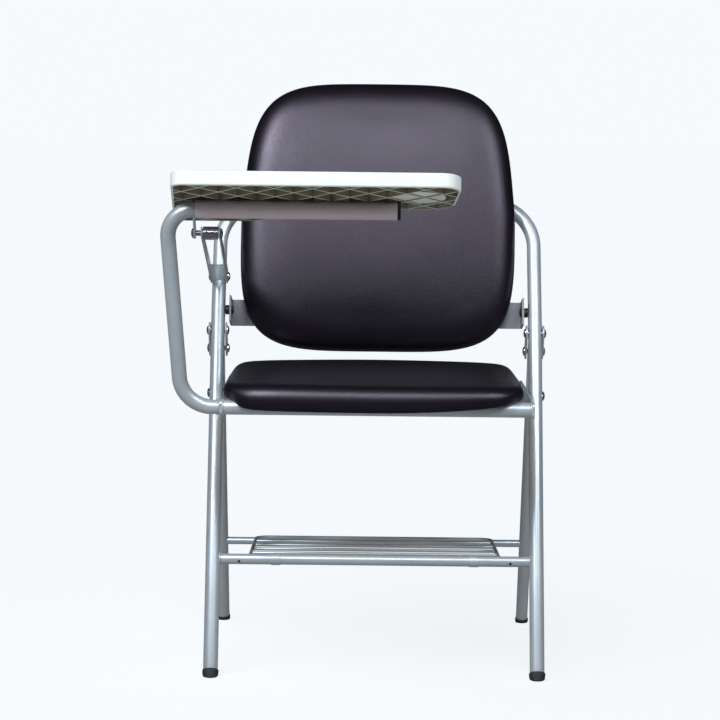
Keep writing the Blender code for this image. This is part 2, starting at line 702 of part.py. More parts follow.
def seat_frame():
    pan_top_edge = PAN_BOTTOM - GAP
    stud_y, stud_z = rear_axis(STUD_HEIGHT)[1], STUD_HEIGHT
    lean = math.atan2(REAR_FOOT_BACK - REAR_PIVOT_BACK, REAR_PIVOT_HEIGHT)
    rest = (stud_y + math.sin(lean) * (STUD_RADIUS + GAP), stud_z - math.cos(lean) * (STUD_RADIUS + GAP))

    def finger(y):
        return rest[1] + (y - rest[0]) * math.tan(lean)

    notch_front = SEAT_PIVOT.y + 0.012
    notch_foot = notch_front + 0.022
    deep = SEAT_PIVOT.z - 0.028
    outline = rounded([
        (RAIL_FRONT, FRONT_BAR_HEIGHT - 0.0115, 0.006),
        (SEAT_PIVOT.y - RAIL_DROP, FRONT_BAR_HEIGHT - 0.0115, RAIL_DROP_RADIUS),
        (SEAT_PIVOT.y - 0.015, deep, 0.030), (RAIL_REAR, deep + 0.008, 0.004),
        (RAIL_REAR, finger(RAIL_REAR), 0.004), (notch_foot, finger(notch_foot), 0.004),
        (notch_front, pan_top_edge, 0.004), (RAIL_FRONT, pan_top_edge, 0.006)])
    bar_centre = (FRONT_BAR_BACK, FRONT_BAR_HEIGHT)
    for name, side in SIDES:
        holes = [circle(SEAT_PIVOT.yz, RIVET_RADIUS + GAP)]
        if side < 0.0:
            holes.append(circle(bar_centre, SPINDLE_TUBE / 2 + RUNNING))
        sheet(f"seat_rail_{name}", outline, holes, RAIL_THICKNESS, SEAT, SILVER,
              side_plane(side * (RAIL_INNER + RAIL_THICKNESS / 2)))
        tube_half = leg_axis(SEAT_PIVOT_HEIGHT)[0]
        inner = RAIL_INNER - GAP
        rivet(f"seat_rivet_{name}", side, inner, tube_half + FRAME_TUBE / 2 + GAP, SEAT_PIVOT.yz, SEAT)
        start = RAIL_INNER + RAIL_THICKNESS + GAP
        length = tube_half - FRAME_TUBE / 2 - GAP - start
        ring = [(RIVET_RADIUS + GAP, length), (RIVET_HEAD_RADIUS, length), (RIVET_HEAD_RADIUS, 0.0),
                (RIVET_RADIUS + GAP, 0.0), (RIVET_RADIUS + GAP, length)]
        turned(f"seat_pivot_bush_{name}", ring, along_x(side * start, SEAT_PIVOT.yz, side), SEAT, NYLON)
    end = RAIL_INNER - GAP
    bar = rod("seat_front_bar", -end, end, bar_centre, FRAME_TUBE / 2, SEAT, SILVER)
    cut(bar, rod("spindle_bore", -end - 0.01, -end + SPINDLE_DEPTH, bar_centre, SPINDLE_TUBE / 2 + RUNNING,
                 SEAT))
    rear_bar_height = PAN_BOTTOM - GAP - REAR_BAR_TUBE / 2
    rod("seat_rear_bar", -end, end, (REAR_BAR_BACK, rear_bar_height), REAR_BAR_TUBE / 2, SEAT, SILVER)


def seat_pad():
    pan_middle = (PAN_FRONT + PAN_REAR) / 2
    pan_half_depth = (PAN_REAR - PAN_FRONT) / 2
    outline = rounded([(x * PAN_HALF_WIDTH, y * pan_half_depth, PAN_CORNER)
                       for x, y in ((-1, -1), (1, -1), (1, 1), (-1, 1))])
    place = Matrix.Translation((0.0, pan_middle, PAN_BOTTOM + PAN_THICKNESS / 2))
    sheet("seat_pan", outline, [], PAN_THICKNESS, SEAT, PLYWOOD, place)
    pocket = sheet("pan_pocket", [(x * 1.004, y * 1.004) for x, y in outline], [], 2 * PAN_THICKNESS, SEAT,
                   None, Matrix.Translation((0.0, pan_middle, PAN_BOTTOM + GAP)))
    middle = (CUSHION_FRONT + CUSHION_REAR) / 2
    half_depth = (CUSHION_REAR - CUSHION_FRONT) / 2

    def pad_point(u, v, w):
        x, y = superellipse(u, v, 7.0)
        fall = max(abs(u), abs(v)) ** 4
        top = CUSHION_TOP - 0.35 * (CUSHION_TOP - CUSHION_SKIRT) * fall
        front = max(-v, 0.0) * (1.0 - u * u)
        taper = 1.0 - CUSHION_REAR_TAPER * max(v, 0.0)
        bottom = CUSHION_SKIRT - CUSHION_LIP * front ** 4
        return (x * CUSHION_HALF_WIDTH * taper, middle + y * half_depth - CUSHION_BOW * front,
                bottom + (top - bottom) * (w + 1) / 2)

    cushion = cut(soft_pad("seat_cushion", (8, 8, 2), pad_point, SEAT, LEATHERETTE), pocket)
    cut(cushion, rod("front_bar_room", -RAIL_INNER, RAIL_INNER, (FRONT_BAR_BACK, FRONT_BAR_HEIGHT),
                     FRAME_TUBE / 2 + GAP, SEAT))


def arm_points():
    foot = -(RAIL_INNER + RAIL_THICKNESS + GAP)
    corners = [(foot, FRONT_BAR_BACK, FRONT_BAR_HEIGHT), (-ARM_FOOT_OUT, FRONT_BAR_BACK, FRONT_BAR_HEIGHT),
               (-ARM_TOP_OUT, -ARM_TOP_FORWARD, ARM_TOP_HEIGHT),
               (ARM_TOP_END, -ARM_TOP_FORWARD, ARM_TOP_HEIGHT)]
    return bent_path(corners, [ARM_FOOT_RADIUS, ARM_TOP_RADIUS])


def tablet_arm():
    points = arm_points()
    smooth(as_mesh(tube("tablet_arm", points, ARM_TUBE, ARM, SILVER), SILVER))
    bar_centre = (FRONT_BAR_BACK, FRONT_BAR_HEIGHT)
    end = -(RAIL_INNER + RAIL_THICKNESS)
    rod("arm_spindle", end, end + SPINDLE_DEPTH, bar_centre, SPINDLE_TUBE / 2, ARM, SILVER)
    left, right = (x + STAY_SKEW for x in stay_sides())
    lug_x = SLEEVE_LEFT - 2 * GAP - LUG_THICKNESS / 2
    top = ARM_TOP_HEIGHT - ARM_TUBE / 4
    outline = [(-ARM_TOP_FORWARD - 0.009, top)] + arc(STAY_PIN.yz, 0.008, 180.0, 360.0)
    outline.append((-ARM_TOP_FORWARD + 0.009, top))
    lug = sheet("stay_lug", outline, [circle(STAY_PIN.yz, PIN_RADIUS + GAP)], LUG_THICKNESS, ARM, SILVER,
                side_plane(lug_x))
    cut(lug, clearance_tube("arm_room", points, ARM_TUBE, ARM))
    start = -(lug_x - LUG_THICKNESS / 2 - GAP)
    finish_x = -(right + STAY_SHEET / 2 + 2 * GAP)
    rivet("stay_pin", -1.0, finish_x, start, STAY_PIN.yz, ARM, PIN_RADIUS)
    play = STAY_SHEET / 2 + 3 * GAP
    length = right - left - 2 * play
    bore = PIN_RADIUS + GAP
    ring = [(bore, length), (ROLLER_RADIUS, length), (ROLLER_RADIUS, 0.0), (bore, 0.0), (bore, length)]
    turned("stay_spacer", ring, along_x(left + play, STAY_PIN.yz), ARM, CHROME)


def stay_sides():
    """Middle planes of the stay's two cheeks where they straddle the left back tube."""
    off = FRAME_TUBE / 2 + 2 * GAP + STAY_SHEET / 2
    return -BACK_HALF_SPAN - off, -BACK_HALF_SPAN + off


def tablet_stay():
    left, right = stay_sides()
    middle = (left + right) / 2
    inside = right - left - STAY_SHEET
    line = (STAY_PIN - STAY_PIVOT).yz
    length = line.length
    heading = line.normalized()
    across = Vector((-heading.y, heading.x))

    def along(s, t):
        return tuple(STAY_PIVOT.yz + heading * s + across * t)

    half = STAY_HEIGHT / 2
    slot_radius = PIN_RADIUS + STAY_SLOT_PLAY
    nose = along(length + STAY_SLOT_FRONT, 0.0)
    outline = obround(along(0.0, 0.0), nose, half, slot_radius + STAY_NOSE_WALL)
    slot = obround(along(length - STAY_SLOT_BACK, 0.0), nose, slot_radius)
    holes = [circle(STAY_PIVOT.yz, RIVET_RADIUS + RUNNING), slot]
    stay = sheet("tablet_stay", outline, holes, inside + 2 * STAY_SHEET, STAY, SILVER, side_plane(middle))
    far = length + 2 * STAY_HEIGHT
    web = half - STAY_SHEET
    cavity = [along(s, t) for s, t in (
        (-STAY_HEIGHT, -STAY_HEIGHT), (far, -STAY_HEIGHT), (far, STAY_HEIGHT), (STAY_WEB_END, STAY_HEIGHT),
        (STAY_WEB_END, web), (STAY_WEB_START, web), (STAY_WEB_START, STAY_HEIGHT),
        (-STAY_HEIGHT, STAY_HEIGHT))]
    room = sheet("stay_cavity", cavity, [], inside, STAY, None, side_plane(middle))
    for piece in (stay, room):
        for vert in piece.data.vertices:
            vert.co.z += STAY_SKEW * (vert.co.xy - STAY_PIVOT.yz).dot(heading) / length
    cut(stay, room)
    reach = STAY_SHEET / 2 + GAP
    rivet("stay_pivot_bolt", -1.0, -(right + reach), -(left - reach), STAY_PIVOT.yz, FRAME)


def tablet_frame():
    """Local axes of the tablet: x across, y from its front edge to its back, z up from its underside."""
    turn = Matrix.Rotation(-TABLET_TILT, 4, "X")
    contact = TABLET_PIVOT + turn @ Vector((0.0, 0.0, SLEEVE_TUBE / 2 + GAP))
    return Matrix.Translation(contact - turn @ Vector((0.0, TABLET_AHEAD, 0.0))) @ turn


def tablet_outline(inset):
    """The tablet's plan: deep beside the arm, scooped to a shallow end in front of the sitter."""
    return rounded([
        (TABLET_LEFT_FRONT + inset, inset, 0.018 - inset), (TABLET_RIGHT - inset, inset, 0.030 - inset),
        (TABLET_RIGHT - 0.008 - inset, TABLET_SHALLOW - inset, 0.038 - inset),
        (SCOOP_END, TABLET_SHALLOW - inset, SCOOP_END_RADIUS),
        (SCOOP_START, TABLET_DEEP - inset, SCOOP_START_RADIUS),
        (TABLET_LEFT_REAR + inset, TABLET_DEEP - inset, 0.020 - inset)])


def writing_tablet():
    place = tablet_frame()

    def raised(height):
        return place @ Matrix.Translation((0.0, 0.0, height))

    top = sheet("tablet_top", tablet_outline(0.0), [], TABLET_HEIGHT, TABLET, TABLET_PLASTIC,
                raised(TABLET_HEIGHT / 2), TABLET_EDGE)
    depth = TABLET_HEIGHT - TABLET_SKIN
    pocket = sheet("tablet_pocket", tablet_outline(TABLET_RIM), [], 2 * depth, TABLET, None, raised(0.0))
    span = 2 * (TABLET_DEEP - TABLET_LEFT_REAR + TABLET_RIGHT)
    ribs = bpy.data.meshes.new("tablet_ribs")
    shape = bmesh.new()
    count = math.ceil((TABLET_RIGHT - TABLET_LEFT_REAR + TABLET_DEEP) / math.sqrt(2.0) / RIB_PITCH / 2) + 1
    middle = Vector(((TABLET_RIGHT + TABLET_LEFT_REAR) / 2, TABLET_DEEP / 2, depth))
    for turn in (math.pi / 4, -math.pi / 4):
        for k in range(-count, count + 1):
            bar = bmesh.ops.create_cube(shape, size=1.0)["verts"]
            size = Matrix.Diagonal((span, RIB_THICKNESS, 2 * depth, 1.0))
            offset = Matrix.Rotation(turn, 4, "Z") @ Matrix.Translation((0.0, k * RIB_PITCH, 0.0))
            bmesh.ops.transform(shape, verts=bar, matrix=Matrix.Translation(middle) @ offset @ size)
    shape.to_mesh(ribs)
    shape.free()
    cut(pocket, add("tablet_ribs", ribs, TABLET, None, place)).modifiers[-1].use_self = True
    boss = sheet("cup_boss", circle((CUP_X, CUP_BACK), CUP_RADIUS + CUP_WALL), [], 2 * TABLET_HEIGHT, TABLET,
                 None, raised(TABLET_HEIGHT + TABLET_SKIN / 2))
    cut(pocket, boss)
    cup = sheet("cup_recess", circle((CUP_X, CUP_BACK), CUP_RADIUS), [], 2 * CUP_DEPTH, TABLET, None,
                raised(TABLET_HEIGHT))
    cut(cut(top, pocket), cup)
    centre = TABLET_PIVOT.yz
    length = SLEEVE_RIGHT - SLEEVE_LEFT
    bore = circle(centre, ARM_TUBE / 2 + RUNNING)
    sheet("tablet_sleeve", circle(centre, SLEEVE_TUBE / 2), [bore], length, TABLET, SILVER,
          side_plane((SLEEVE_LEFT + SLEEVE_RIGHT) / 2))
    spigot = ARM_TUBE / 2
    profile = [(0.0, PLUG_FLANGE), (SLEEVE_TUBE / 2, PLUG_FLANGE), (SLEEVE_TUBE / 2, 0.0), (spigot, 0.0),
               (spigot, -PLUG_SPIGOT), (0.0, -PLUG_SPIGOT)]
    turned("sleeve_end_plug", profile, along_x(SLEEVE_RIGHT + GAP, centre), TABLET, NYLON)


def rack_line():
    """Depth and height of the rack's front and rear wires."""
    bar_y = rear_axis(RACK_REAR_HEIGHT)[1]
    apart = RACK_REAR_TUBE / 2 + GAP + RACK_WIRE / 2
    rear = Vector((bar_y - apart * math.cos(RACK_REST), RACK_REAR_HEIGHT + apart * math.sin(RACK_REST)))
    front = RACK_PIVOT.yz + Vector((RACK_FRONT_TUBE / 2 + 2 * CLIP_WALL + RACK_WIRE / 2, 0.0))
    return front, rear


def book_rack():
    front, rear = rack_line()
    half = (RACK_WIDTH - RACK_WIRE) / 2
    corners = [(0.0, *front), (half, *front), (half, *rear), (-half, *rear), (-half, *front), (0.0, *front)]
    loop = bent_path(corners, [RACK_CORNER] * 4)[:-1]
    rack = smooth(as_mesh(tube("book_rack", loop, RACK_WIRE, RACK, SILVER, closed=True), SILVER))
    for k in range(RACK_CROSS_WIRES):
        share = (k + 1) / (RACK_CROSS_WIRES + 1)
        y, z = front.lerp(rear, share)
        wire = as_mesh(tube(f"rack_wire_{k + 1}", [(-half, y, z), (half, y, z)], RACK_WIRE * 0.9, RACK))
        cut(rack, wire, "UNION")
    centre = RACK_PIVOT.yz
    inner = RACK_FRONT_TUBE / 2 + RUNNING
    outline = obround(centre, front, RACK_FRONT_TUBE / 2 + CLIP_WALL, RACK_WIRE / 2 + CLIP_WALL)
    holes = [circle(centre, inner), circle(front, RACK_WIRE / 2 + GAP)]
    for name, side in SIDES:
        sheet(f"rack_clip_{name}", outline, holes, CLIP_WIDTH, RACK, SILVER,
              side_plane(side * CLIP_HALF_SPAN))


def set_down():
    """Stands the chair on the floor with the middle of its bounding box over the origin."""
    bpy.context.view_layer.update()
    depsgraph = bpy.context.evaluated_depsgraph_get()
    lows, highs = Vector((1e9,) * 3), Vector((-1e9,) * 3)
    for obj in bpy.data.collections["study_chair"].objects:
        if obj.type == "EMPTY":
            continue
        shown = obj.evaluated_get(depsgraph)
        for vert in shown.data.vertices:
            place = shown.matrix_world @ vert.co
            lows = Vector(map(min, lows, place))
            highs = Vector(map(max, highs, place))
    CHAIR.location = (-(lows.x + highs.x) / 2, -(lows.y + highs.y) / 2, -lows.z)
    bpy.context.view_layer.update()
    print("size", [round(v, 4) for v in highs - lows], "moved by", [round(v, 5) for v in CHAIR.location])
    for empty in (SEAT, REAR, RACK, STAY, ARM, TABLET):
        print(empty.name, [round(v, 5) for v in empty.matrix_world.translation])


main_frame()
pivot_plates()
rack_front_bar()
rear_legs()
backrest()
backrest_brackets()
seat_frame()
seat_pad()
tablet_arm()
tablet_stay()
writing_tablet()
book_rack()
set_down()
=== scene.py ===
# %% [markdown]
# A folding study chair: a bent tube frame, a seat that tips up, a padded back, a wire book rack, and a
# writing tablet on an arm at the sitter's right hand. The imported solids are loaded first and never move.
# Every piece made below stands in for one of them, or sits on one, so nothing has to be fitted by eye.

# %% Load the frame
import json
import math

import bmesh
import bpy
from mathutils import Matrix, Vector
from mathutils.bvhtree import BVHTree

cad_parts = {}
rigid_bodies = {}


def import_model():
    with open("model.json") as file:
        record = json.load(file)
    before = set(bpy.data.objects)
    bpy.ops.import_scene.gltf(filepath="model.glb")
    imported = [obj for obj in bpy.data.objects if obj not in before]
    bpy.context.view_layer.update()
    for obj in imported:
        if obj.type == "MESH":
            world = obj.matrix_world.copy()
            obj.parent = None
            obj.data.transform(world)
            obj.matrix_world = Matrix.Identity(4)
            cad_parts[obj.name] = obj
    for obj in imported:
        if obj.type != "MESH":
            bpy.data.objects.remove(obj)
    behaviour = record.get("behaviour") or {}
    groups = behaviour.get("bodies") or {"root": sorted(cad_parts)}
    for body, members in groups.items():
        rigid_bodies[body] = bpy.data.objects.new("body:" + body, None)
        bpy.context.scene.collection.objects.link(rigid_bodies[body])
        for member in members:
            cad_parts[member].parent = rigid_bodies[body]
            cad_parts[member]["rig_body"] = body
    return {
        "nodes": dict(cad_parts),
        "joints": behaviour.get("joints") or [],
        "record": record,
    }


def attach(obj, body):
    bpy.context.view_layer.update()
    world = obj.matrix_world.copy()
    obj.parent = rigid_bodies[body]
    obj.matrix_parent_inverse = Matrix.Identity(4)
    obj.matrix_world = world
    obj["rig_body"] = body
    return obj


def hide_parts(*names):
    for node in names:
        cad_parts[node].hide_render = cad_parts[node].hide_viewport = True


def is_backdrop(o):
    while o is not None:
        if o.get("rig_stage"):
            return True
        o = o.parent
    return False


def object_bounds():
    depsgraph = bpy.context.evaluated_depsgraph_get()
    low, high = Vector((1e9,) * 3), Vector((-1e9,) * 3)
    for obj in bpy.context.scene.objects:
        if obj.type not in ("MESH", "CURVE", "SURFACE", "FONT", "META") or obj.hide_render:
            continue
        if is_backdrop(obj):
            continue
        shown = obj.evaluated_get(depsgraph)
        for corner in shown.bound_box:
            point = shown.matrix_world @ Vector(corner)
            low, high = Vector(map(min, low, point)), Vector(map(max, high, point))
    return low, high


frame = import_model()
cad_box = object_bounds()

nodes = frame["nodes"]

# %% [markdown]
# The drawing measures the chair from the floor between its front feet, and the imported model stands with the
# middle of its box over the origin. The seat's hinge is known in both, so the step from one to the other is
# one subtraction. After this, a place can be read off the drawing and passed through at().

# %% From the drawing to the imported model
SEAT_HINGE = Vector((0.0, 0.2292, 0.397))
hinge = next(joint for joint in frame["joints"] if joint["name"] == "seat_flip")
SHIFT = Vector(hinge["pos_m"]) - SEAT_HINGE


def at(x, y, z):
    """A point of the drawing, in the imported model's place."""
    return Vector((x, y, z)) + SHIFT


print("drawing moved by", [round(v, 4) for v in SHIFT])

# %% [markdown]
# The camera comes early, because it settles how large any detail will be in the picture. The photograph was
# taken from straight ahead with a long lens, a little above the tablet and tipped slightly down. The focal
# length is in pixels of a 720 pixel frame, which is how it was measured, and a lens is that times the
# sensor's width over the frame's.

# %% Camera
FRAME_PIXELS = 720
FOCAL_PIXELS = 2426
CAMERA_PLACE = at(-0.0255, -3.535, 0.857)
CAMERA_PITCH = math.radians(6.16)
CAMERA_ROLL = math.radians(0.62)

lens = bpy.data.cameras.new("photograph_lens")
lens.sensor_fit = "HORIZONTAL"
lens.sensor_width = 36.0
lens.lens = FOCAL_PIXELS / FRAME_PIXELS * lens.sensor_width
camera = bpy.data.objects.new("photograph_view", lens)
bpy.context.scene.collection.objects.link(camera)
tip = Matrix.Rotation(math.pi / 2 - CAMERA_PITCH, 4, "X") @ Matrix.Rotation(CAMERA_ROLL, 4, "Z")
camera.matrix_world = Matrix.Translation(CAMERA_PLACE) @ tip
bpy.context.scene.camera = camera
print("lens", round(lens.lens, 1), "mm at", round(-CAMERA_PLACE.y, 2), "m")

# %% [markdown]
# A few small helpers serve every finish. Colours are written as the hex values a paint shop would give, and
# one function turns them to the linear values that a shader mixes. Pattern scales are worked out from a real
# size in millimetres. One function adds a node, sets it and links it, so each material reads like a list,
# and the last two begin a material and feed its patterns to its shader.

# %% Colour, scale and node helpers


def linear(code, strength=1.0):
    """The linear colour of an sRGB hex value, made dimmer by a strength under one."""
    channels = [int(code[i:i + 2], 16) / 255 for i in (1, 3, 5)]
    bent = [c / 12.92 if c <= 0.04045 else ((c + 0.055) / 1.055) ** 2.4 for c in channels]
    return (*(c * strength for c in bent), 1.0)


def every(millimetres):
    """The texture scale that repeats a pattern about every so many millimetres."""
    return 1000.0 / millimetres


def add_node(owner, kind, inputs=None, **settings):
    """Adds a node to a material or world, with its settings, and its inputs as values or links."""
    made = owner.node_tree.nodes.new(kind)
    for name, value in settings.items():
        setattr(made, name, value)
    for name, value in (inputs or {}).items():
        if isinstance(value, bpy.types.NodeSocket):
            owner.node_tree.links.new(value, made.inputs[name])
        else:
            made.inputs[name].default_value = value
    return made


def start_material(name, **sockets):
    """A material with its shader's plain values set, its shader, and its Object coordinates."""
    material = bpy.data.materials.new(name)
    material.use_nodes = True
    shader = material.node_tree.nodes["Principled BSDF"]
    for socket, value in sockets.items():
        shader.inputs[socket.replace("_", " ")].default_value = value
    place = add_node(material, "ShaderNodeTexCoord").outputs["Object"]
    return material, shader, place


def feed(shader, **outputs):
    """Links patterns to the shader's sockets, named with underscores."""
    for socket, output in outputs.items():
        shader.id_data.links.new(output, shader.inputs[socket.replace("_", " ")])


print("white is", [round(v, 2) for v in linear("#FFFFFF")])

# %% [markdown]
# The chair stands on a plain white studio sweep. A real sweep curves up into a wall, but a wall would hide
# the chair from other sides, so here the floor runs on to the horizon and meets a background of the same
# white. In the photograph the vinyl is lit until it burns out, and only a faint shadow is left under the
# chair. So most of its white is its own light, and a small share is the lamp's. Rays that have left the
# chair find a greyer floor than the camera does, as under a real chair in a dark studio.

# %% Floor
FLOOR_HALF = 40.0
WHITE, OWN_LIGHT = "#F6FAFD", 0.853

vinyl, shader, place = start_material("white_studio_vinyl", Roughness=0.85, Specular_IOR_Level=0.0,
                                      Emission_Strength=1.0)
cloud = add_node(vinyl, "ShaderNodeTexNoise", {"Vector": place, "Scale": every(400.0), "Detail": 3.0})
pale = add_node(vinyl, "ShaderNodeMix", {0: cloud.outputs[0], 6: linear("#F4F6F8"), 7: linear("#F7F8FA")},
                data_type="RGBA")
rays = add_node(vinyl, "ShaderNodeLightPath").outputs
lit = add_node(vinyl, "ShaderNodeMix", {0: rays["Is Camera Ray"], 6: linear("#000000"), 7: pale.outputs[2]},
               data_type="RGBA")
bounce = add_node(vinyl, "ShaderNodeMix", {0: rays["Is Glossy Ray"], 6: linear("#DCDCDE"),
                                           7: linear("#5A5B5E")}, data_type="RGBA")
glow = add_node(vinyl, "ShaderNodeMix", {0: rays["Is Camera Ray"], 6: bounce.outputs[2],
                                         7: linear(WHITE, OWN_LIGHT)}, data_type="RGBA")
feed(shader, Base_Color=lit.outputs[2], Emission_Color=glow.outputs[2])

shape = bmesh.new()
bmesh.ops.create_grid(shape, x_segments=2, y_segments=2, size=FLOOR_HALF)
floor_mesh = bpy.data.meshes.new("studio_floor")
shape.to_mesh(floor_mesh)
shape.free()
floor_mesh.materials.append(vinyl)
floor = bpy.data.objects.new("studio_floor", floor_mesh)
bpy.context.scene.collection.objects.link(floor)
floor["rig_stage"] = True
print("floor", 2 * FLOOR_HALF, "m across")

# %% [markdown]
# The back cushion in the photograph is bright towards its top and black round its edge, the tubes carry thin
# bright stripes, and a soft band of light runs down either side of the back. That is a dark studio with a
# wide soft box above the camera and a narrow one on each side. The room is the world here, and the camera
# itself sees it as a plain white backdrop.

# %% Room
bpy.context.scene.view_settings.view_transform = "Standard"
world = bpy.data.worlds.new("studio_room")
bpy.context.scene.world = world
world.use_nodes = True
world.node_tree.nodes.clear()
room = add_node(world, "ShaderNodeBackground", {"Color": linear("#EEF2FF"), "Strength": 0.03})
backdrop = add_node(world, "ShaderNodeBackground", {"Color": linear(WHITE), "Strength": 1.0})
seen = add_node(world, "ShaderNodeLightPath").outputs["Is Camera Ray"]
both = add_node(world, "ShaderNodeMixShader", {0: seen, 1: room.outputs[0], 2: backdrop.outputs[0]})
add_node(world, "ShaderNodeOutputWorld", {"Surface": both.outputs[0]})
print("room light", room.inputs["Strength"].default_value)

# %% [markdown]
# The soft boxes are area lights, placed by how far round from the camera and how high they stand. They light
# the chair alone, and a wide sun lights the floor alone, so each can be set without spoiling the other.
# Light linking does that: a collection says which objects a lamp falls on. The boxes are low and short, so
# that the cushion's rounded edge soon looks past them into the dark room.

# %% Lamps
CHAIR_MIDDLE = Vector((0.0, 0.0, 0.50))
LAMP_DISTANCE = 3.2
floor_only = bpy.data.collections.new("floor_only")
off_floor = bpy.data.collections.new("all_but_the_floor")
for group, state in ((floor_only, "INCLUDE"), (off_floor, "EXCLUDE")):
    group.objects.link(floor)
    group.collection_objects[0].light_linking.link_state = state


def soft_box(name, round_from_camera, height, width, tall, watts):
    """A soft box that faces the chair, at angles in degrees from the camera's side."""
    lamp = bpy.data.lights.new(name, "AREA")
    lamp.shape = "RECTANGLE"
    lamp.color = linear("#F3F6FF")[:3]
    lamp.size, lamp.size_y, lamp.energy = width, tall, watts
    box = bpy.data.objects.new(name, lamp)
    bpy.context.scene.collection.objects.link(box)
    side, up = math.radians(round_from_camera), math.radians(height)
    away = Vector((math.cos(up) * math.sin(side), -math.cos(up) * math.cos(side), math.sin(up)))
    box.matrix_world = (Matrix.Translation(CHAIR_MIDDLE + away * LAMP_DISTANCE)
                        @ (-away).to_track_quat("-Z", "Y").to_matrix().to_4x4())
    box.light_linking.receiver_collection = off_floor


soft_box("wide_soft_box", round_from_camera=4.0, height=42.0, width=1.9, tall=1.2, watts=62.0)
soft_box("left_soft_box", round_from_camera=-41.0, height=38.0, width=0.50, tall=1.1, watts=86.0)
soft_box("right_soft_box", round_from_camera=48.0, height=36.0, width=0.50, tall=1.1, watts=42.0)
sun = bpy.data.lights.new("sweep_light", "SUN")
sun.energy = 0.40
sun.angle = math.radians(60.0)
sweep = bpy.data.objects.new("sweep_light", sun)
sweep.rotation_euler = (math.radians(15.0), math.radians(-18.0), 0.0)
sweep.light_linking.receiver_collection = floor_only
bpy.context.scene.collection.objects.link(sweep)
print("lights", [lamp.name for lamp in bpy.data.lights])

# %% [markdown]
# The frame is steel tube in a silver-grey metallic enamel, sprayed and baked. Aluminium flake in the lacquer
# makes it part mirror, part matt, and the spray leaves a slight ripple that breaks up the stripes of light.
# Real ripple is about a millimetre across. It is drawn at three, which is two pixels of the picture, because
# anything finer would be lost.

# %% Silver enamel
enamel, shader, place = start_material("silver_baked_enamel", Metallic=0.45, Coat_Weight=0.20,
                                       Coat_Roughness=0.15)
cloud = add_node(enamel, "ShaderNodeTexNoise", {"Vector": place, "Scale": every(45.0), "Detail": 4.0})
tint = add_node(enamel, "ShaderNodeMix", {0: cloud.outputs[0], 6: linear("#A4AEB2"), 7: linear("#B4BEC1")},
                data_type="RGBA")
rough = add_node(enamel, "ShaderNodeMapRange", {"Value": cloud.outputs[0], "To Min": 0.30, "To Max": 0.42})
ripple = add_node(enamel, "ShaderNodeTexNoise", {"Vector": place, "Scale": every(3.0), "Detail": 2.0})
bump = add_node(enamel, "ShaderNodeBump", {"Height": ripple.outputs[0], "Strength": 0.06,
                                           "Distance": 0.0006})
feed(shader, Base_Color=tint.outputs[2], Roughness=rough.outputs[0], Normal=bump.outputs[0])
print("made", enamel.name)

# %% [markdown]
# Rivets, the stay's bolt, pin and spacer, and the screws behind the back are steel with bright zinc plating.
# The plating has a faint blue cast and picks up a haze from handling, so its roughness wanders from clean to
# dull over a few millimetres.

# %% Zinc-plated steel
zinc, shader, place = start_material("bright_zinc_plate", Base_Color=linear("#CDD1D6"), Metallic=1.0)
haze = add_node(zinc, "ShaderNodeTexNoise", {"Vector": place, "Scale": every(6.0), "Detail": 5.0})
rough = add_node(zinc, "ShaderNodeMapRange", {"Value": haze.outputs[0], "To Min": 0.10, "To Max": 0.32})
feed(shader, Roughness=rough.outputs[0])
print("made", zinc.name)

# %% [markdown]
# Feet and the pads behind the back are moulded black rubber. Bushes, spacers, stop studs, bolt caps and the
# sleeve's plug are moulded nylon, a little smoother. The back's shell is polypropylene with an eroded grain,
# as car trim has. All three are one recipe with different numbers, so a loop makes them: a mottled black and
# a fine pitted bump.

# %% Moulded blacks
blacks = {}
for slot, name, dark, pale, gloss, pit in (
        ("rubber", "moulded_rubber", "#161617", "#242425", (0.62, 0.85), 2.0),
        ("nylon", "moulded_nylon", "#151516", "#1E1E20", (0.40, 0.55), 1.6),
        ("shell_plastic", "grained_polypropylene", "#1B1B1D", "#252528", (0.42, 0.58), 2.5)):
    black, shader, place = start_material(name)
    cloud = add_node(black, "ShaderNodeTexNoise", {"Vector": place, "Scale": every(18.0), "Detail": 5.0})
    tint = add_node(black, "ShaderNodeMix", {0: cloud.outputs[0], 6: linear(dark), 7: linear(pale)},
                    data_type="RGBA")
    rough = add_node(black, "ShaderNodeMapRange", {"Value": cloud.outputs[0], "To Min": gloss[0],
                                                   "To Max": gloss[1]})
    pits = add_node(black, "ShaderNodeTexVoronoi", {"Vector": place, "Scale": every(pit)})
    bump = add_node(black, "ShaderNodeBump", {"Height": pits.outputs["Distance"], "Strength": 0.15,
                                              "Distance": 0.0004})
    feed(shader, Base_Color=tint.outputs[2], Roughness=rough.outputs[0], Normal=bump.outputs[0])
    blacks[slot] = black
print("made", [black.name for black in blacks.values()])

# %% [markdown]
# The cushions are covered in leatherette, a vinyl-coated cloth embossed with a pebble grain. It is nearly
# black with a violet cast, and the vinyl's soft gloss does most of the work: what shows is the room in it.
# Pebbles are about a millimetre. They are drawn at two and a half, so they can just be seen from the camera.

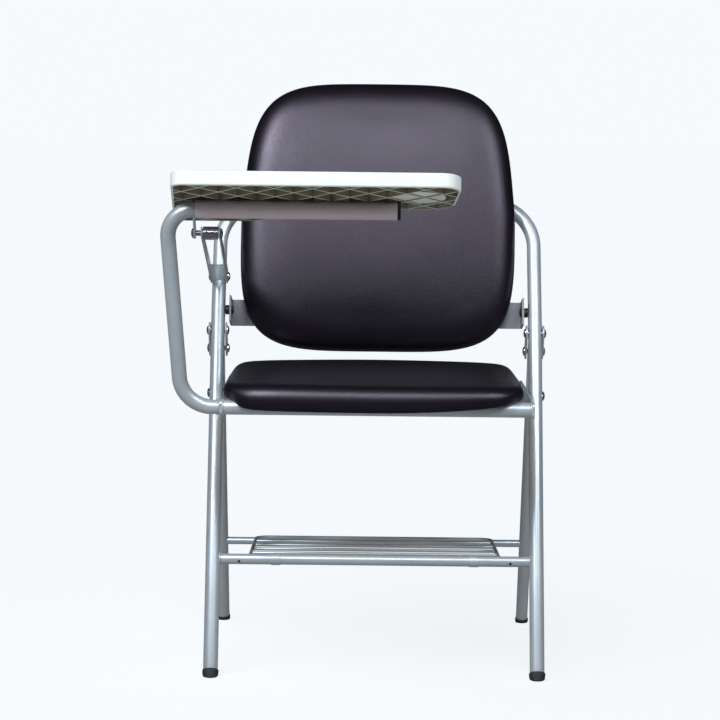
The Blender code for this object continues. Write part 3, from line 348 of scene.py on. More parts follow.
# %% Leatherette
leatherette, shader, place = start_material("embossed_leatherette", IOR=1.50,
                                            Specular_Tint=linear("#F6ECFF"))
wander = add_node(leatherette, "ShaderNodeTexNoise", {"Vector": place, "Scale": every(9.0), "Detail": 3.0})
bend = add_node(leatherette, "ShaderNodeMix", {0: 0.006, 6: place, 7: wander.outputs["Color"]},
                data_type="RGBA", blend_type="ADD")
pebble = add_node(leatherette, "ShaderNodeTexVoronoi", {"Vector": bend.outputs[2], "Scale": every(2.5)},
                  feature="DISTANCE_TO_EDGE")
cloud = add_node(leatherette, "ShaderNodeTexNoise", {"Vector": place, "Scale": every(70.0), "Detail": 4.0})
tint = add_node(leatherette, "ShaderNodeMix", {0: cloud.outputs[0], 6: linear("#08060A"),
                                               7: linear("#0E0A11")}, data_type="RGBA")
rough = add_node(leatherette, "ShaderNodeMapRange", {"Value": cloud.outputs[0], "To Min": 0.31,
                                                     "To Max": 0.39})
crease = add_node(leatherette, "ShaderNodeMapRange", {"Value": pebble.outputs["Distance"], "From Max": 0.22})
bump = add_node(leatherette, "ShaderNodeBump", {"Height": crease.outputs[0], "Strength": 0.16,
                                                "Distance": 0.0004})
feed(shader, Base_Color=tint.outputs[2], Roughness=rough.outputs[0], Normal=bump.outputs[0])
print("made", leatherette.name)

# %% [markdown]
# The tablet is injection-moulded polypropylene in ivory white. Its skin has a fine spark-eroded texture that
# keeps pencil marks from shining, and thick plastic glows a little, which a small subsurface share gives.

# %% Ivory plastic
ivory, shader, place = start_material("ivory_polypropylene", IOR=1.49, Subsurface_Weight=0.10,
                                      Subsurface_Scale=0.004)
cloud = add_node(ivory, "ShaderNodeTexNoise", {"Vector": place, "Scale": every(30.0), "Detail": 4.0})
tint = add_node(ivory, "ShaderNodeMix", {0: cloud.outputs[0], 6: linear("#BDC5BE"), 7: linear("#C6CDC5")},
                data_type="RGBA")
rough = add_node(ivory, "ShaderNodeMapRange", {"Value": cloud.outputs[0], "To Min": 0.48, "To Max": 0.58})
spark = add_node(ivory, "ShaderNodeTexNoise", {"Vector": place, "Scale": every(1.5), "Detail": 2.0})
bump = add_node(ivory, "ShaderNodeBump", {"Height": spark.outputs[0], "Strength": 0.06, "Distance": 0.0003})
feed(shader, Base_Color=tint.outputs[2], Roughness=rough.outputs[0], Normal=bump.outputs[0])
print("made", ivory.name)

# %% [markdown]
# The seat's board is raw plywood, seen from below and behind. Its faces have grain that runs across the
# chair, which is stretched noise. Its edge shows plies, which is a wave across the height. Blender's wave
# turns through twenty radians in a unit, and here through one in two millimetres, so that the board's
# thickness holds about one light band and one dark.

# %% Plywood
WAVE_RADIANS = 20
plywood, shader, place = start_material("raw_birch_plywood", Roughness=0.62)
stretch = add_node(plywood, "ShaderNodeMapping", {"Vector": place, "Scale": (0.08, 1.0, 1.0)})
grain = add_node(plywood, "ShaderNodeTexNoise", {"Vector": stretch.outputs[0], "Scale": every(5.0),
                                                 "Detail": 6.0})
plies = add_node(plywood, "ShaderNodeTexWave", {"Vector": place, "Scale": every(2.0) / WAVE_RADIANS,
                                                "Distortion": 0.6}, bands_direction="Z")
share = add_node(plywood, "ShaderNodeMath", {0: grain.outputs[0], 1: plies.outputs[1]}, operation="MULTIPLY")
tint = add_node(plywood, "ShaderNodeMix", {0: share.outputs[0], 6: linear("#A98458"), 7: linear("#D9BC8F")},
                data_type="RGBA")
bump = add_node(plywood, "ShaderNodeBump", {"Height": grain.outputs[0], "Strength": 0.2, "Distance": 0.0005})
feed(shader, Base_Color=tint.outputs[2], Normal=bump.outputs[0])
print("made", plywood.name)

# %% [markdown]
# Three more finishes are plain mottles. The sleeve that turns on the arm is a mauve-grey vinyl tube, dulled
# by handling. The brackets behind the back are steel, painted a darker grey than the enamel as painted shade.
# The pockets under the tablet are the same ivory, painted a dark khaki as painted shade for their hollows.

# %% Sleeve, shaded brackets and shaded pockets
plain = {}
for name, dark, pale, gloss, patch, metal in (
        ("mauve_grey_vinyl", "#A79CA0", "#B5AAAE", (0.40, 0.52), 25.0, 0.0),
        # the brackets' darker grey is painted shade on the enamel
        ("shaded_grey_enamel", "#75777B", "#84868A", (0.38, 0.50), 20.0, 0.30),
        # the pockets' dark khaki is painted shade
        ("shaded_pocket_ivory", "#6A6654", "#857F6A", (0.60, 0.80), 14.0, 0.0)):
    finish, shader, place = start_material(name, Metallic=metal)
    cloud = add_node(finish, "ShaderNodeTexNoise", {"Vector": place, "Scale": every(patch), "Detail": 5.0})
    tint = add_node(finish, "ShaderNodeMix", {0: cloud.outputs[0], 6: linear(dark), 7: linear(pale)},
                    data_type="RGBA")
    rough = add_node(finish, "ShaderNodeMapRange", {"Value": cloud.outputs[0], "To Min": gloss[0],
                                                    "To Max": gloss[1]})
    feed(shader, Base_Color=tint.outputs[2], Roughness=rough.outputs[0])
    plain[name] = finish
FINISHES = {"silver_enamel": enamel, "zinc_steel": zinc, "leatherette": leatherette, "plywood": plywood,
            "tablet_plastic": ivory, **blacks}
print("made", sorted(plain), "and the slots' finishes", sorted(FINISHES))

# %% [markdown]
# A piece that replaces a solid moves with that solid's body, so the body need not be named twice.

# %% Putting a piece in place
SLOT_OF = {part["node"]: part["material_slot"] for part in frame["record"]["subparts"]}


def place_piece(name, shape, stands_for=(), body=None, slot=None, sharp=35.0, finish=None):
    """Turns a bmesh into a piece that rides on a body, with its finish."""
    mesh = bpy.data.meshes.new(name)
    shape.to_mesh(mesh)
    shape.free()
    mesh.shade_smooth()
    mesh.set_sharp_from_angle(angle=math.radians(sharp))
    piece = bpy.data.objects.new(name, mesh)
    bpy.context.scene.collection.objects.link(piece)
    slot = slot or SLOT_OF[stands_for[0]]
    mesh.materials.append(finish or FINISHES[slot])
    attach(piece, body or nodes[stands_for[0]]["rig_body"])
    if stands_for:
        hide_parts(*stands_for)
    return piece


print("slots", sorted(set(SLOT_OF.values())))

# %% [markdown]
# Bent tube is made as a tube bender makes it. A ring of edges is drawn straight along the axis by extruding
# it, then carried round each bend by spinning it about the bend's centre, and so on to the far end. The
# arcs are true arcs, and thirty-two sides are round enough for the stripes of light to run clean.

# %% A tube bender
TUBE_SIDES, BEND_STEP, END_ROUND = 32, math.radians(5.0), 0.0008
MERGE, MERGE_LOOP = 0.00001, 0.00002


def only(kind, items):
    """The verts, edges or faces among what an operator made."""
    return [item for item in items if isinstance(item, kind)]


def bent_tube(shape, corners, radii, diameter, closed=False):
    """Draws a tube along corners, with a bend of the given radius at each inner one."""
    heading = (corners[1] - corners[0]).normalized()
    turn = Vector((0.0, 0.0, 1.0)).rotation_difference(heading).to_matrix().to_4x4()
    ring = bmesh.ops.create_circle(shape, segments=TUBE_SIDES, radius=diameter / 2,
                                   matrix=Matrix.Translation(corners[0]) @ turn)["verts"]
    first = edges = list({edge for vert in ring for edge in vert.link_edges})
    here = corners[0]
    for before, corner, after, radius in zip(corners, corners[1:], corners[2:], radii):
        back, on = (before - corner).normalized(), (after - corner).normalized()
        angle = math.pi - back.angle(on)
        start = corner + back * radius * math.tan(angle / 2)
        centre = corner + (back + on).normalized() * radius / math.cos(angle / 2)
        edges = draw_on(shape, edges, start - here)
        verts = list({vert for edge in edges for vert in edge.verts})
        swept = bmesh.ops.spin(shape, geom=verts + edges, cent=centre, axis=on.cross(back), angle=angle,
                               steps=math.ceil(angle / BEND_STEP))["geom_last"]
        edges = only(bmesh.types.BMEdge, swept)
        here = corner + on * radius * math.tan(angle / 2)
    edges = draw_on(shape, edges, corners[-1] - here)
    if closed:
        bmesh.ops.remove_doubles(shape, verts=shape.verts, dist=MERGE_LOOP)
    else:
        for rim in (first, edges):
            lid = bmesh.ops.edgeloop_fill(shape, edges=rim)["faces"]
            around = list({edge for face in lid for edge in face.edges})
            bmesh.ops.bevel(shape, geom=around, offset=END_ROUND, affect="EDGES", segments=2, profile=0.5,
                            material=-1)
    bmesh.ops.recalc_face_normals(shape, faces=shape.faces)


def draw_on(shape, edges, step):
    """Extrudes a ring of edges along a step and returns the new ring."""
    made = bmesh.ops.extrude_edge_only(shape, edges=edges)["geom"]
    verts = only(bmesh.types.BMVert, made)
    bmesh.ops.translate(shape, verts=verts, vec=step)
    moved = set(verts)
    return [edge for edge in only(bmesh.types.BMEdge, made) if moved.issuperset(edge.verts)]


def tube_piece(name, node, corners, radii, diameter):
    """A bent tube put in place for a solid."""
    shape = bmesh.new()
    bent_tube(shape, corners, radii, diameter)
    piece = place_piece(name, shape, (node,))
    print(name, len(piece.data.polygons), "faces")


print("tubes have", TUBE_SIDES, "sides")

# %% [markdown]
# The main frame is one tube. It rises from the left foot at a slant, bends a little at the back bolts, runs
# up and turns square across behind the back, then mirrors itself down to the right foot. Its ends stop
# inside the rubber feet.

# %% Main frame
FRAME_TUBE, FRONT_LEG_START = 0.022, 0.0142
FOOT_OUT, FRAME_OUT = 0.243, 0.251
BACK_BOLTS, FRAME_TOP = (0.30022, 0.520), (0.38684, 0.690)
BOLT_BEND, TOP_BEND = 0.080, 0.075
left_foot, right_foot = at(-FOOT_OUT, 0.0, 0.0), at(FOOT_OUT, 0.0, 0.0)
left_bend, right_bend = at(-FRAME_OUT, *BACK_BOLTS), at(FRAME_OUT, *BACK_BOLTS)
left_top, right_top = at(-FRAME_OUT, *FRAME_TOP), at(FRAME_OUT, *FRAME_TOP)
tube_piece("slanting_frame_tube", "main_frame",
           [left_foot.lerp(left_bend, FRONT_LEG_START), left_bend, left_top, right_top, right_bend,
            right_foot.lerp(right_bend, FRONT_LEG_START)], (BOLT_BEND, TOP_BEND, TOP_BEND, BOLT_BEND),
           FRAME_TUBE)

# %% [markdown]
# The rear legs are straight thinner tubes between the pivot plates and the floor. The bars that carry the
# rack run between the legs, and two more carry the seat's board. Each is a plain run of tube, so a list does
# for all of them. A bar that meets a leg runs a few millimetres into it, as a fitted and welded end does.

# %% Straight tubes
REAR_TUBE, REAR_LEG_START, PAST_PIVOT = 0.019, 0.0106, 0.013
REAR_FOOT_OUT, REAR_FOOT_BACK = 0.2455, 0.400
REAR_PIVOT_OUT, REAR_PIVOT = 0.250, (0.29998, 0.460)
rear_feet = {side: (at(x * REAR_FOOT_OUT, REAR_FOOT_BACK, 0.0), at(x * REAR_PIVOT_OUT, *REAR_PIVOT))
             for side, x in (("left", -1.0), ("right", 1.0))}
for side, (foot, pivot) in rear_feet.items():
    top = pivot + (pivot - foot).normalized() * PAST_PIVOT
    tube_piece(f"rear_leg_tube_{side}", f"rear_leg_{side}", [foot.lerp(pivot, REAR_LEG_START), top], (),
               REAR_TUBE)
RACK_BAR_OUT, RACK_BAR, RACK_BAR_TUBE = 0.236, (0.09238, 0.160), 0.016
RACK_REAR_OUT, RACK_REAR_BAR, RACK_REAR_TUBE = 0.240, (0.37022, 0.137), 0.012
SEAT_BAR_OUT, SEAT_BAR, SEAT_BAR_TUBE = 0.2242, (-0.040, 0.409), 0.022
SEAT_REAR_BAR, SEAT_REAR_TUBE = (0.185, 0.4105), 0.019
for name, node, half, line, diameter in (
        ("rack_front_tube", "rack_front_bar", RACK_BAR_OUT, RACK_BAR, RACK_BAR_TUBE),
        ("rack_rear_tube", "rack_rear_bar", RACK_REAR_OUT, RACK_REAR_BAR, RACK_REAR_TUBE),
        ("seat_front_tube", "seat_front_bar", SEAT_BAR_OUT, SEAT_BAR, SEAT_BAR_TUBE),
        ("seat_rear_tube", "seat_rear_bar", SEAT_BAR_OUT, SEAT_REAR_BAR, SEAT_REAR_TUBE)):
    tube_piece(name, node, [at(-half, *line), at(half, *line)], (), diameter)

# %% [markdown]
# Each foot is a low rubber cap pushed over the end of a leg. It is turned about the leg's axis, a little
# wider at its rim, and then the floor cuts it off level, because the legs lean. The cut edge is worn round.

# %% Feet
CAP_WALL, CAP_TUCK, CAP_DEPTH, LIP_ROUND, SOLE_ROUND = 0.0012, 0.0010, 0.014, 0.0006, 0.0016
LIP_HEIGHT, TUCK_HEIGHT = 0.003, 0.004
FRONT_RIM, REAR_RIM = 0.0100, 0.0078
feet = [("front", "left", left_foot, left_bend, FRONT_RIM, FRAME_TUBE / 2),
        ("front", "right", right_foot, right_bend, FRONT_RIM, FRAME_TUBE / 2)]
feet += [("rear", side, *ends, REAR_RIM, REAR_TUBE / 2) for side, ends in rear_feet.items()]
for which, side, ground, top, rim, inner in feet:
    axis = (top - ground).normalized()
    aside = axis.orthogonal().normalized()
    cap = bmesh.new()
    outer = inner + CAP_WALL
    outline = [(0.0, -CAP_DEPTH), (inner - CAP_WALL, -CAP_DEPTH), (outer, rim - LIP_HEIGHT),
               (outer, rim - LIP_ROUND), (outer - LIP_ROUND, rim), (inner - CAP_TUCK, rim),
               (inner - CAP_TUCK, rim - TUCK_HEIGHT)]
    verts = [cap.verts.new(ground + aside * radius + axis * height) for radius, height in outline]
    edges = [cap.edges.new(pair) for pair in zip(verts, verts[1:])]
    bmesh.ops.spin(cap, geom=verts + edges, cent=ground, axis=axis, angle=2 * math.pi, steps=40,
                   use_merge=True)
    bmesh.ops.remove_doubles(cap, verts=cap.verts, dist=MERGE)
    level = bmesh.ops.bisect_plane(cap, geom=[*cap.verts, *cap.edges, *cap.faces], plane_co=(0.0, 0.0, 0.0),
                                   plane_no=(0.0, 0.0, -1.0), clear_outer=True)["geom_cut"]
    sole = bmesh.ops.edgeloop_fill(cap, edges=only(bmesh.types.BMEdge, level))["faces"]
    around = list({edge for face in sole for edge in face.edges})
    bmesh.ops.bevel(cap, geom=around, offset=SOLE_ROUND, affect="EDGES", segments=3, profile=0.5,
                    material=-1)
    bmesh.ops.recalc_face_normals(cap, faces=cap.faces)
    place_piece(f"{which}_cap_{side}", cap, (f"{which}_foot_{side}",), sharp=50.0)
print("rubber caps", len(feet))

# %% [markdown]
# The tablet's arm grows out of the seat's front corner: a short run outwards, a wide bend, a long rise that
# leans out and forward, and a second bend into the bar that carries the tablet.

# %% Tablet arm
ARM_START, ARM_ELBOW, ARM_SHOULDER, ARM_END = -0.2288, -0.2835, -0.302, 0.008
ARM_TOP = (-0.110, 0.699)
LOWER_BEND, UPPER_BEND = 0.048, 0.040
tube_piece("tablet_arm_tube", "tablet_arm",
           [at(ARM_START, *SEAT_BAR), at(ARM_ELBOW, *SEAT_BAR), at(ARM_SHOULDER, *ARM_TOP),
            at(ARM_END, *ARM_TOP)], (LOWER_BEND, UPPER_BEND), FRAME_TUBE)

# %% [markdown]
# The book rack is a loop of wire with four wires across it, welded at their ends. The loop is a tube bent
# at four corners whose last run meets its first ring, and the cross wires are straight tubes let into it.

# %% Book rack
RACK_HALF, RACK_WIRE, RACK_BEND = 0.1905, 0.006, 0.020
CROSS_WIRES, CROSS_SHARE = 4, 0.9
rack_front, rack_rear = Vector((0.10838, 0.160)), Vector((0.36424, 0.14412))
corners = [at(x * RACK_HALF, *end) for x, end in (
    (0.0, rack_front), (1.0, rack_front), (1.0, rack_rear), (-1.0, rack_rear), (-1.0, rack_front),
    (0.0, rack_front))]
rack = bmesh.new()
bent_tube(rack, corners, (RACK_BEND,) * 4, RACK_WIRE, closed=True)
for k in range(1, CROSS_WIRES + 1):
    y, z = rack_front.lerp(rack_rear, k / (CROSS_WIRES + 1))
    bent_tube(rack, [at(-RACK_HALF, y, z), at(RACK_HALF, y, z)], (), RACK_WIRE * CROSS_SHARE)
place_piece("book_rack_wires", rack, ("book_rack",))
print("rack of", CROSS_WIRES, "wires on a loop")

# %% [markdown]
# Bars are welded where they meet a leg or a rail, and each joint has a small bead round it, painted over. A
# bead is a thin ring turned about the bar. The rack's front bar also has a drilled drain hole near each end,
# which shows as a dark dot of shade, so a disc of black, painted shade, is set in the bar's face.

# %% Weld beads and drain holes
BEAD = 0.0014
SEAT_WELD, RACK_WELD = 0.2236, 0.2345
HOLE_OUT, HOLE_TURN, HOLE_RADIUS = 0.2055, math.radians(105.0), 0.0020
HOLE_DEPTH, HOLE_LIFT = 0.0012, 0.0076


def weld_bead(shape, centre, bar):
    """A ring of weld round a bar that runs across the chair."""
    start = Matrix.Translation(centre + Vector((0.0, 0.0, bar / 2)))
    upright = Matrix.Rotation(math.pi / 2, 4, "Y") @ Matrix.Rotation(math.pi / 2, 4, "X")
    ring = bmesh.ops.create_circle(shape, segments=10, radius=BEAD, matrix=start @ upright)["verts"]
    edges = list({edge for vert in ring for edge in vert.link_edges})
    bmesh.ops.spin(shape, geom=ring + edges, cent=centre, axis=(1.0, 0.0, 0.0), angle=2 * math.pi, steps=36,
                   use_merge=True)


seat_bars = ((SEAT_BAR, SEAT_BAR_TUBE), (SEAT_REAR_BAR, SEAT_REAR_TUBE))
for name, node, x, bars in (("seat_weld_beads", "seat_front_bar", SEAT_WELD, seat_bars),
                            ("rack_weld_beads", "rack_front_bar", RACK_WELD, ((RACK_BAR, RACK_BAR_TUBE),))):
    beads = bmesh.new()
    for line, bar in bars:
        for side in (-1.0, 1.0):
            weld_bead(beads, at(side * x, *line), bar)
    bmesh.ops.remove_doubles(beads, verts=beads.verts, dist=MERGE)
    bmesh.ops.recalc_face_normals(beads, faces=beads.faces)
    place_piece(name, beads, body=nodes[node]["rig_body"], slot="silver_enamel", sharp=60.0)
# black discs as painted shade for the holes' dark insides
holes = bmesh.new()
for side in (-1.0, 1.0):
    facing = Matrix.Translation(at(side * HOLE_OUT, *RACK_BAR)) @ Matrix.Rotation(HOLE_TURN, 4, "X")
    bmesh.ops.create_cone(holes, segments=20, radius1=HOLE_RADIUS, radius2=HOLE_RADIUS, depth=HOLE_DEPTH,
                          cap_ends=True, matrix=facing @ Matrix.Translation((0.0, 0.0, HOLE_LIFT)))
place_piece("rack_drain_hole_shade", holes, body=nodes["rack_front_bar"]["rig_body"], slot="nylon")
print("welds and drain holes on")

# %% [markdown]
# Sheet-metal and turned pieces have the right shape already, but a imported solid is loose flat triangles,
# with edges sharper than any press or lathe leaves. A merged copy gets its flat faces joined, a fine bevel
# on its edges, and normals weighted by face size, so flats stay flat and rounds stay round.

# %% Pieces finished from their solids
FLAT_WITHIN, EDGE_FROM = math.radians(0.5), math.radians(40.0)


def merged_copy(node):
    """A solid's mesh with its triangles joined back into whole faces."""
    shape = bmesh.new()
    shape.from_mesh(nodes[node].data)
    bmesh.ops.remove_doubles(shape, verts=shape.verts, dist=MERGE)
    bmesh.ops.dissolve_limit(shape, angle_limit=FLAT_WITHIN, verts=shape.verts, edges=shape.edges)
    return shape


def finished_copy(node, edge):
    """A merged copy of a solid with softened edges, which stands for it."""
    finish = next((plain[name] for word, name in ODD_FINISHES.items() if word in node), None)
    piece = place_piece(f"{node}_finished", merged_copy(node), (node,), finish=finish)
    if edge:
        soften = piece.modifiers.new("softened_edges", "BEVEL")
        soften.width, soften.segments = edge, 2
        soften.limit_method, soften.angle_limit = "ANGLE", EDGE_FROM
        soften.miter_outer = "MITER_ARC"
    piece.modifiers.new("flat_faces", "WEIGHTED_NORMAL").keep_sharp = True


EDGES = {"seat_rail": 0.0008, "pivot_plate": 0.0006, "backrest_bracket": 0.0008,
         "stay_lug": 0.0006, "tablet_stay": 0.0004, "backrest_pad": 0.0004, "stud": 0.0005,
         "spacer": 0.0004, "bush": 0.0003, "plug": 0.0008, "rivet": 0.0, "bolt": 0.0, "stay_pin": 0.0,
         "arm_spindle": 0.0004, "seat_pan": 0.0008, "tablet_sleeve": 0.0004, "backrest_shell": 0.0025}
# the brackets' darker grey finish is painted shade
ODD_FINISHES = {"tablet_sleeve": "mauve_grey_vinyl", "backrest_bracket": "shaded_grey_enamel"}
done = 0
for node in sorted(nodes):
    edge = next((width for word, width in EDGES.items() if word in node), None)
    if edge is not None and not nodes[node].hide_render:
        finished_copy(node, edge)
        done += 1
print("finished", done, "solids")

# %% [markdown]
# The clips that hang the rack on its front bar are thin bands, hardly proud of the tube, pressed from sheet.
# The solid's wall is thicker, so its outline, an arc round the bar and one round the wire, is drawn in here.

# %% Rack clips
CLIP_DRAWN_IN, CLIP_WIRE_END, ON_ARC = 0.0016, 0.0055, 0.0003
for side in ("left", "right"):
    clip = merged_copy(f"rack_clip_{side}")
    (low_y, high_y), (low_z, high_z) = ([limit(vert.co[axis] for vert in clip.verts) for limit in (min, max)]
                                        for axis in (1, 2))
    middle, bar_end = (low_z + high_z) / 2, (high_z - low_z) / 2
    arcs = ((Vector((low_y + bar_end, middle)), bar_end),
            (Vector((high_y - CLIP_WIRE_END, middle)), CLIP_WIRE_END))
    for vert in clip.verts:
        for centre, radius in arcs:
            out = vert.co.yz - centre
            if abs(out.length - radius) < ON_ARC:
                vert.co.yz -= out.normalized() * CLIP_DRAWN_IN
                break
    place_piece(f"rack_clip_{side}_finished", clip, (f"rack_clip_{side}",))
print("clips drawn in by", CLIP_DRAWN_IN * 1000, "mm")

# %% [markdown]
# The tablet is one moulding: a smooth top with a rim, and ribs crossing underneath in diamonds. A face
# belongs to a pocket if the top is above it, and it looks at another face or lies deeper than the ribs'
# edges. Rays sent from the face answer that, so no pocket needs to be named. Pocket faces are painted a
# dark khaki, as painted shade.

# %% Tablet
RIB_EDGE, POCKET_ACROSS, OFF_FACE = 0.0025, 0.080, 0.0001
TABLET_TILT = math.radians(14.6)
tablet_up = Matrix.Rotation(-TABLET_TILT, 3, "X") @ Vector((0.0, 0.0, 1.0))
tablet = merged_copy("tablet_top")
tree = BVHTree.FromBMesh(tablet)
rib_edges = min(vert.co.dot(tablet_up) for vert in tablet.verts)
shaded_pocket_faces = 0
for face in tablet.faces:
    start = face.calc_center_median() + face.normal * OFF_FACE
    covered = tree.ray_cast(start, tablet_up)[0] is not None
    faced = tree.ray_cast(start, face.normal, POCKET_ACROSS)[0] is not None
    deep = face.normal.dot(tablet_up) < -0.5 and start.dot(tablet_up) > rib_edges + RIB_EDGE
    # a pocket face takes the second material, a dark khaki that is painted shade
    face.material_index = int(covered and (faced or deep))
    shaded_pocket_faces += face.material_index
tablet_piece = place_piece("tablet_moulding", tablet, ("tablet_top",))
tablet_piece.data.materials.append(plain["shaded_pocket_ivory"])
tablet_piece.modifiers.new("flat_faces", "WEIGHTED_NORMAL").keep_sharp = True
print("tablet has", len(tablet_piece.data.polygons), "faces,", shaded_pocket_faces, "of them in pockets")

# %% [markdown]
# A cushion is foam under a stretched cover. Both pads of this chair have the plan of a square with rounded
# corners, the back's rounder than the seat's. One formula serves both: a higher power gives a squarer plan.
# It moves each ring of a plain square onto the same ring of the rounded one, so the cells stay even.

# %% Plan of a cushion


def rounded_square(u, v, power):
    """Moves a point of the unit square onto a rounded square, ring by ring."""
    ring, length = max(abs(u), abs(v)), math.hypot(u, v)
    if ring == 0.0:
        return 0.0, 0.0
    reach = ring / (abs(u / length) ** power + abs(v / length) ** power) ** (1.0 / power)
    return reach * u / length, reach * v / length


print("a squarish plan keeps", round(rounded_square(1.0, 1.0, 10.0)[0], 3), "of its corner")

# %% [markdown]
# The cover is blown up as cloth with a little air pressure, and crowns between the edges that hold it. The
# cloth's moves are then eased, each with its neighbours', because foam behind a cover lets no dent stand.

# %% Air in a cover
AIR_PRESSURE, BLOW_FRAMES = 0.35, 20


def evaluated_mesh(piece):
    """A piece's mesh with its modifiers applied."""
    bpy.context.view_layer.update()
    return bpy.data.meshes.new_from_object(piece.evaluated_get(bpy.context.evaluated_depsgraph_get()))


def blown_points(mesh):
    """Where cloth with air in it carries the mesh's points."""
    trial = bpy.data.objects.new("cushion_cloth", mesh.copy())
    bpy.context.scene.collection.objects.link(trial)
    cloth = trial.modifiers.new("cover", "CLOTH")
    cloth.settings.use_pressure = True
    cloth.settings.uniform_pressure_force = AIR_PRESSURE
    cloth.settings.effector_weights.gravity = 0.0
    cloth.collision_settings.use_collision = False
    cloth.point_cache.frame_end = BLOW_FRAMES
    for step in range(1, BLOW_FRAMES + 1):
        bpy.context.scene.frame_set(step)
    points = [vert.co.copy() for vert in evaluated_mesh(trial).vertices]
    bpy.data.objects.remove(trial)
    bpy.context.scene.frame_set(1)
    return points


def eased(vert, moves):
    """The mean of a point's move and its neighbours' moves, where a held neighbour's is none."""
    near = [moves.get(edge.other_vert(vert), Vector()) for edge in vert.link_edges]
    return sum(near, moves[vert]) / (1 + len(near))


print("covers are blown for", BLOW_FRAMES, "frames")

# %% [markdown]
# A cushion starts as a block cut into even cells, each point of which is moved to its place on the pad. Then
# the air goes in. No point may move further than a cap, and points that lie against the board or the shell
# stay put. Last, the mesh is subdivided once, and whatever solid lies in it is cut out.

# %% Cushion maker
SWELL_CAP, EASE_ROUNDS = 0.010, 8


def cushion(name, node, cells, point_at, held, hollows=()):
    """A padded piece blown up from a block of cells, held where held(normal) says so and cut by hollows."""
    shape = bmesh.new()
    bmesh.ops.create_cube(shape, size=2.0)
    for axis, count in enumerate(cells):
        along = [edge for edge in shape.edges if abs((edge.verts[0].co - edge.verts[1].co)[axis]) > 0.001]
        bmesh.ops.subdivide_edges(shape, edges=along, cuts=count - 1, use_grid_fill=True)
    for vert in shape.verts:
        vert.co = point_at(*vert.co)
    bmesh.ops.smooth_vert(shape, verts=shape.verts, factor=0.5, use_axis_x=True, use_axis_y=True,
                          use_axis_z=True)
    bmesh.ops.recalc_face_normals(shape, faces=shape.faces)
    free = [vert for vert in shape.verts if not held(vert.normal)]
    mesh = bpy.data.meshes.new("cushion_start")
    shape.to_mesh(mesh)
    shape.verts.index_update()
    points = blown_points(mesh)
    moves = {vert: points[vert.index] - vert.co for vert in free}
    print(name, "swells by up to", round(max(move.length for move in moves.values()) * 1000, 1), "mm")
    moves = {vert: move * min(1.0, SWELL_CAP / max(move.length, 1e-9)) for vert, move in moves.items()}
    for _ in range(EASE_ROUNDS):
        moves = {vert: eased(vert, moves) for vert in moves}
    for vert, move in moves.items():
        vert.co += move
    shape.to_mesh(mesh)
    shape.free()
    piece = place_piece(name, rounded_and_cut(mesh, hollows), (node,), sharp=80.0)
    return piece


def rounded_and_cut(mesh, hollows):
    """The mesh subdivided once, with the hollows taken out of it."""
    trial = bpy.data.objects.new("cushion_trial", mesh)
    bpy.context.scene.collection.objects.link(trial)
    rounder = trial.modifiers.new("rounder", "SUBSURF")
    rounder.levels = rounder.render_levels = 1
    cutters = []
    for hollow in hollows:
        cutters.append(bpy.data.objects.new("hollow", bpy.data.meshes.new("hollow")))
        hollow.to_mesh(cutters[-1].data)
        hollow.free()
        bpy.context.scene.collection.objects.link(cutters[-1])
        trial.modifiers.new("hollow", "BOOLEAN").object = cutters[-1]
    shape = bmesh.new()
    shape.from_mesh(evaluated_mesh(trial))
    for done_with in (trial, *cutters):
        bpy.data.objects.remove(done_with)
    return shape


print("covers swell by at most", SWELL_CAP * 1000, "mm")

# %% [markdown]
# The seat's cushion sits over its board, bows forward in front, and rolls its lip down before the front bar.
# It is a little narrower at the back. Round its edge it is a bullnose: a wide quarter round above, a tight
# one below. The cover of the chair in the photograph has pulled up at one front corner, and so has this one.
# Its underside is held, everything that faces up or outwards may swell, and the board and the bar are
# hollowed out of it with half a millimetre or more to spare.

# %% Seat cushion
SEAT_MIDDLE, SEAT_HALF, SEAT_FRONT, SEAT_REAR = -0.005, 0.2215, -0.064, 0.286
SEAT_TOP, SEAT_SKIRT, SEAT_LIP, SEAT_BOW = 0.4448, 0.4206, 0.014, 0.028
ROUND_ABOVE, ROUND_BELOW, WIDEST = 0.018, 0.0045, 0.42
SEAT_SQUARENESS, SEAT_FALL, SEAT_TAPER, PULLED_UP = 10.0, 0.001, 0.02, 0.8
BAR_SPARE, BOARD_SPARE, BAR_HALF = 0.0005, 0.0009, 0.23


def seat_point(u, v, w):
    """Where a point of the block lies on the seat: u across, v front to back, w from skirt to top."""
    x, y = rounded_square(u, v, SEAT_SQUARENESS)
    in_front = max(-v, 0.0)
    top = SEAT_TOP - SEAT_FALL * max(abs(u), abs(v)) ** 4
    pulled = PULLED_UP * max(u, 0.0) ** 2
    bottom = SEAT_SKIRT - SEAT_LIP * (1.0 - u ** 16) * (1.0 - pulled) * in_front ** 14
    level = bottom + WIDEST * (top - bottom)
    turn = w * math.pi / 2
    inset = (ROUND_ABOVE if w > 0.0 else ROUND_BELOW) * (1.0 - math.cos(turn))
    height = level + ((top - level) if w > 0.0 else (level - bottom)) * math.sin(turn)
    ahead = SEAT_BOW * (1.0 - u * u) * in_front
    taper = 1.0 - SEAT_TAPER * max(v, 0.0)
    middle, half_depth = (SEAT_FRONT + SEAT_REAR) / 2, (SEAT_REAR - SEAT_FRONT) / 2
    return at(SEAT_MIDDLE + x * (SEAT_HALF * taper - inset), middle + y * (half_depth - inset) - ahead,
              height)


board_room = merged_copy("seat_pan")
board_room.normal_update()
for vert, normal in [(vert, vert.normal.copy()) for vert in board_room.verts]:
    vert.co += normal * BOARD_SPARE
bar_room = bmesh.new()
bent_tube(bar_room, [at(-BAR_HALF, *SEAT_BAR), at(BAR_HALF, *SEAT_BAR)], (), SEAT_BAR_TUBE + 2 * BAR_SPARE)
seat_cover = cushion("seat_cushion_cover", "seat_cushion", (48, 40, 8), seat_point,
                     lambda normal: normal.z < -0.5, hollows=(board_room, bar_room))
print("seat cushion", len(seat_cover.data.vertices), "points")

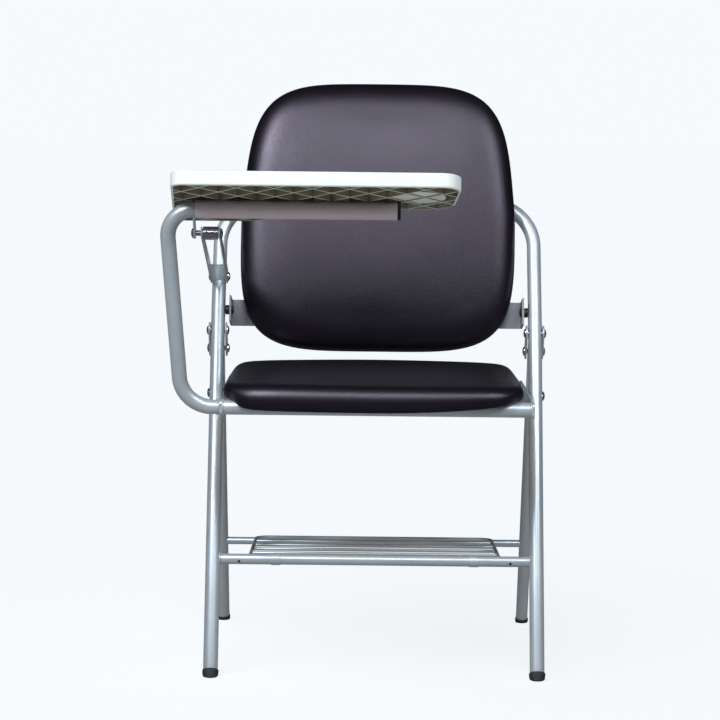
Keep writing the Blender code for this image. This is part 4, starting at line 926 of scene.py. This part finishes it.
# %% [markdown]
# The back's cushion is a flatter pad that lies against the shell and narrows towards its top. Its edge is a
# broad shoulder, wide in the pad's plane and shallow in its depth, which is what turns its rim black under
# these lamps. Its back face is held, and the face towards the sitter crowns. It is drawn in the back's own
# plane, which leans, and it is mounted a hair askew, as on the chair in the photograph.

# %% Back cushion
BACK_LEAN, BACK_MIDDLE = math.radians(14.0), at(0.0, 0.3658, 0.6635)
BACK_HALF, BACK_HALF_HEIGHT, BACK_PAD, BACK_SHELL = 0.2196, 0.2184, 0.040, 0.0103
SHOULDER, BACK_EDGE, BACK_WIDEST, BACK_CROWN = 0.050, 0.006, 0.009, 0.006
BACK_SQUARENESS, BACK_TAPER, BACK_SKEW = 4.4, 0.085, 0.0012
back_plane = Matrix.Translation(BACK_MIDDLE) @ Matrix.Rotation(math.pi / 2 - BACK_LEAN, 4, "X")
towards_shell = back_plane.to_3x3() @ Vector((0.0, 0.0, -1.0))


def back_point(u, v, w):
    """Where a point of the block lies on the back: u across, v up, w from the shell to the sitter."""
    x, y = rounded_square(u, v, BACK_SQUARENESS)
    crown = BACK_PAD - BACK_CROWN * max(abs(u), abs(v)) ** 3
    turn = w * math.pi / 2
    inset = (SHOULDER if w > 0.0 else BACK_EDGE) * (1.0 - math.cos(turn))
    height = BACK_WIDEST + ((crown - BACK_WIDEST) if w > 0.0 else BACK_WIDEST) * math.sin(turn)
    taper = 1.0 - BACK_TAPER * max(y, 0.0)
    return back_plane @ Vector((x * (BACK_HALF * taper - inset) + BACK_SKEW * (1.0 + y),
                                y * (BACK_HALF_HEIGHT - inset), BACK_SHELL + height))


back_cover = cushion("back_cushion_cover", "backrest_cushion", (44, 44, 8), back_point,
                     lambda normal: normal.dot(towards_shell) > 0.6)
print("back cushion", len(back_cover.data.vertices), "points")

# %% [markdown]
# Each bracket is screwed to the back's shell from behind, with two pan-head screws in its tab. The tab is
# the part of the bracket that lies furthest behind the back's plane, so its own points say where the screws
# go.

# %% Bracket screws
SCREW_HEAD, SCREW_RISE, SCREW_APART, SCREW_ROUND = 0.0042, 0.0022, 0.022, 0.0007
SCREW_DOME, TAB_FLAT = 0.75, 0.0003
for side in ("left", "right"):
    bracket = nodes[f"backrest_bracket_{side}"]
    local = [back_plane.inverted() @ (bracket.matrix_world @ vert.co) for vert in bracket.data.vertices]
    behind = min(point.z for point in local)
    tab = [point for point in local if point.z < behind + TAB_FLAT]
    x, y = (sum(limit(point[axis] for point in tab) for limit in (min, max)) / 2 for axis in (0, 1))
    screws = bmesh.new()
    for step in (-0.5, 0.5):
        middle = back_plane @ Matrix.Translation((x, y + step * SCREW_APART, behind - SCREW_RISE / 2))
        head = bmesh.ops.create_cone(screws, segments=24, radius1=SCREW_HEAD * SCREW_DOME,
                                     radius2=SCREW_HEAD, depth=SCREW_RISE, cap_ends=True,
                                     matrix=middle)["verts"]
        top = [edge for edge in {edge for vert in head for edge in vert.link_edges} if
               all((back_plane.inverted() @ vert.co).z < behind - SCREW_RISE * 0.9 for vert in edge.verts)]
        bmesh.ops.bevel(screws, geom=top, offset=SCREW_ROUND, affect="EDGES", segments=3, profile=0.5,
                        material=-1)
    place_piece(f"bracket_screws_{side}", screws, body=bracket["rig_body"], slot="zinc_steel")
print("screw heads", 2 * SCREW_HEAD * 1000, "mm across")

# %% [markdown]
# Last come the sizes. The box of the imported solids was kept at the start, and the dressed chair has to stay
# within it but for a little swelling of the cushions. How far each side has grown past it is printed in
# millimetres; the cushions swell a little.

# %% Sizes and finish
visual_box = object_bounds()
grown = [round((v - c) * 1000, 1) for visual, cad in zip(visual_box, cad_box) for v, c in zip(visual, cad)]
print("dressed box against the solids' box, in mm", grown)
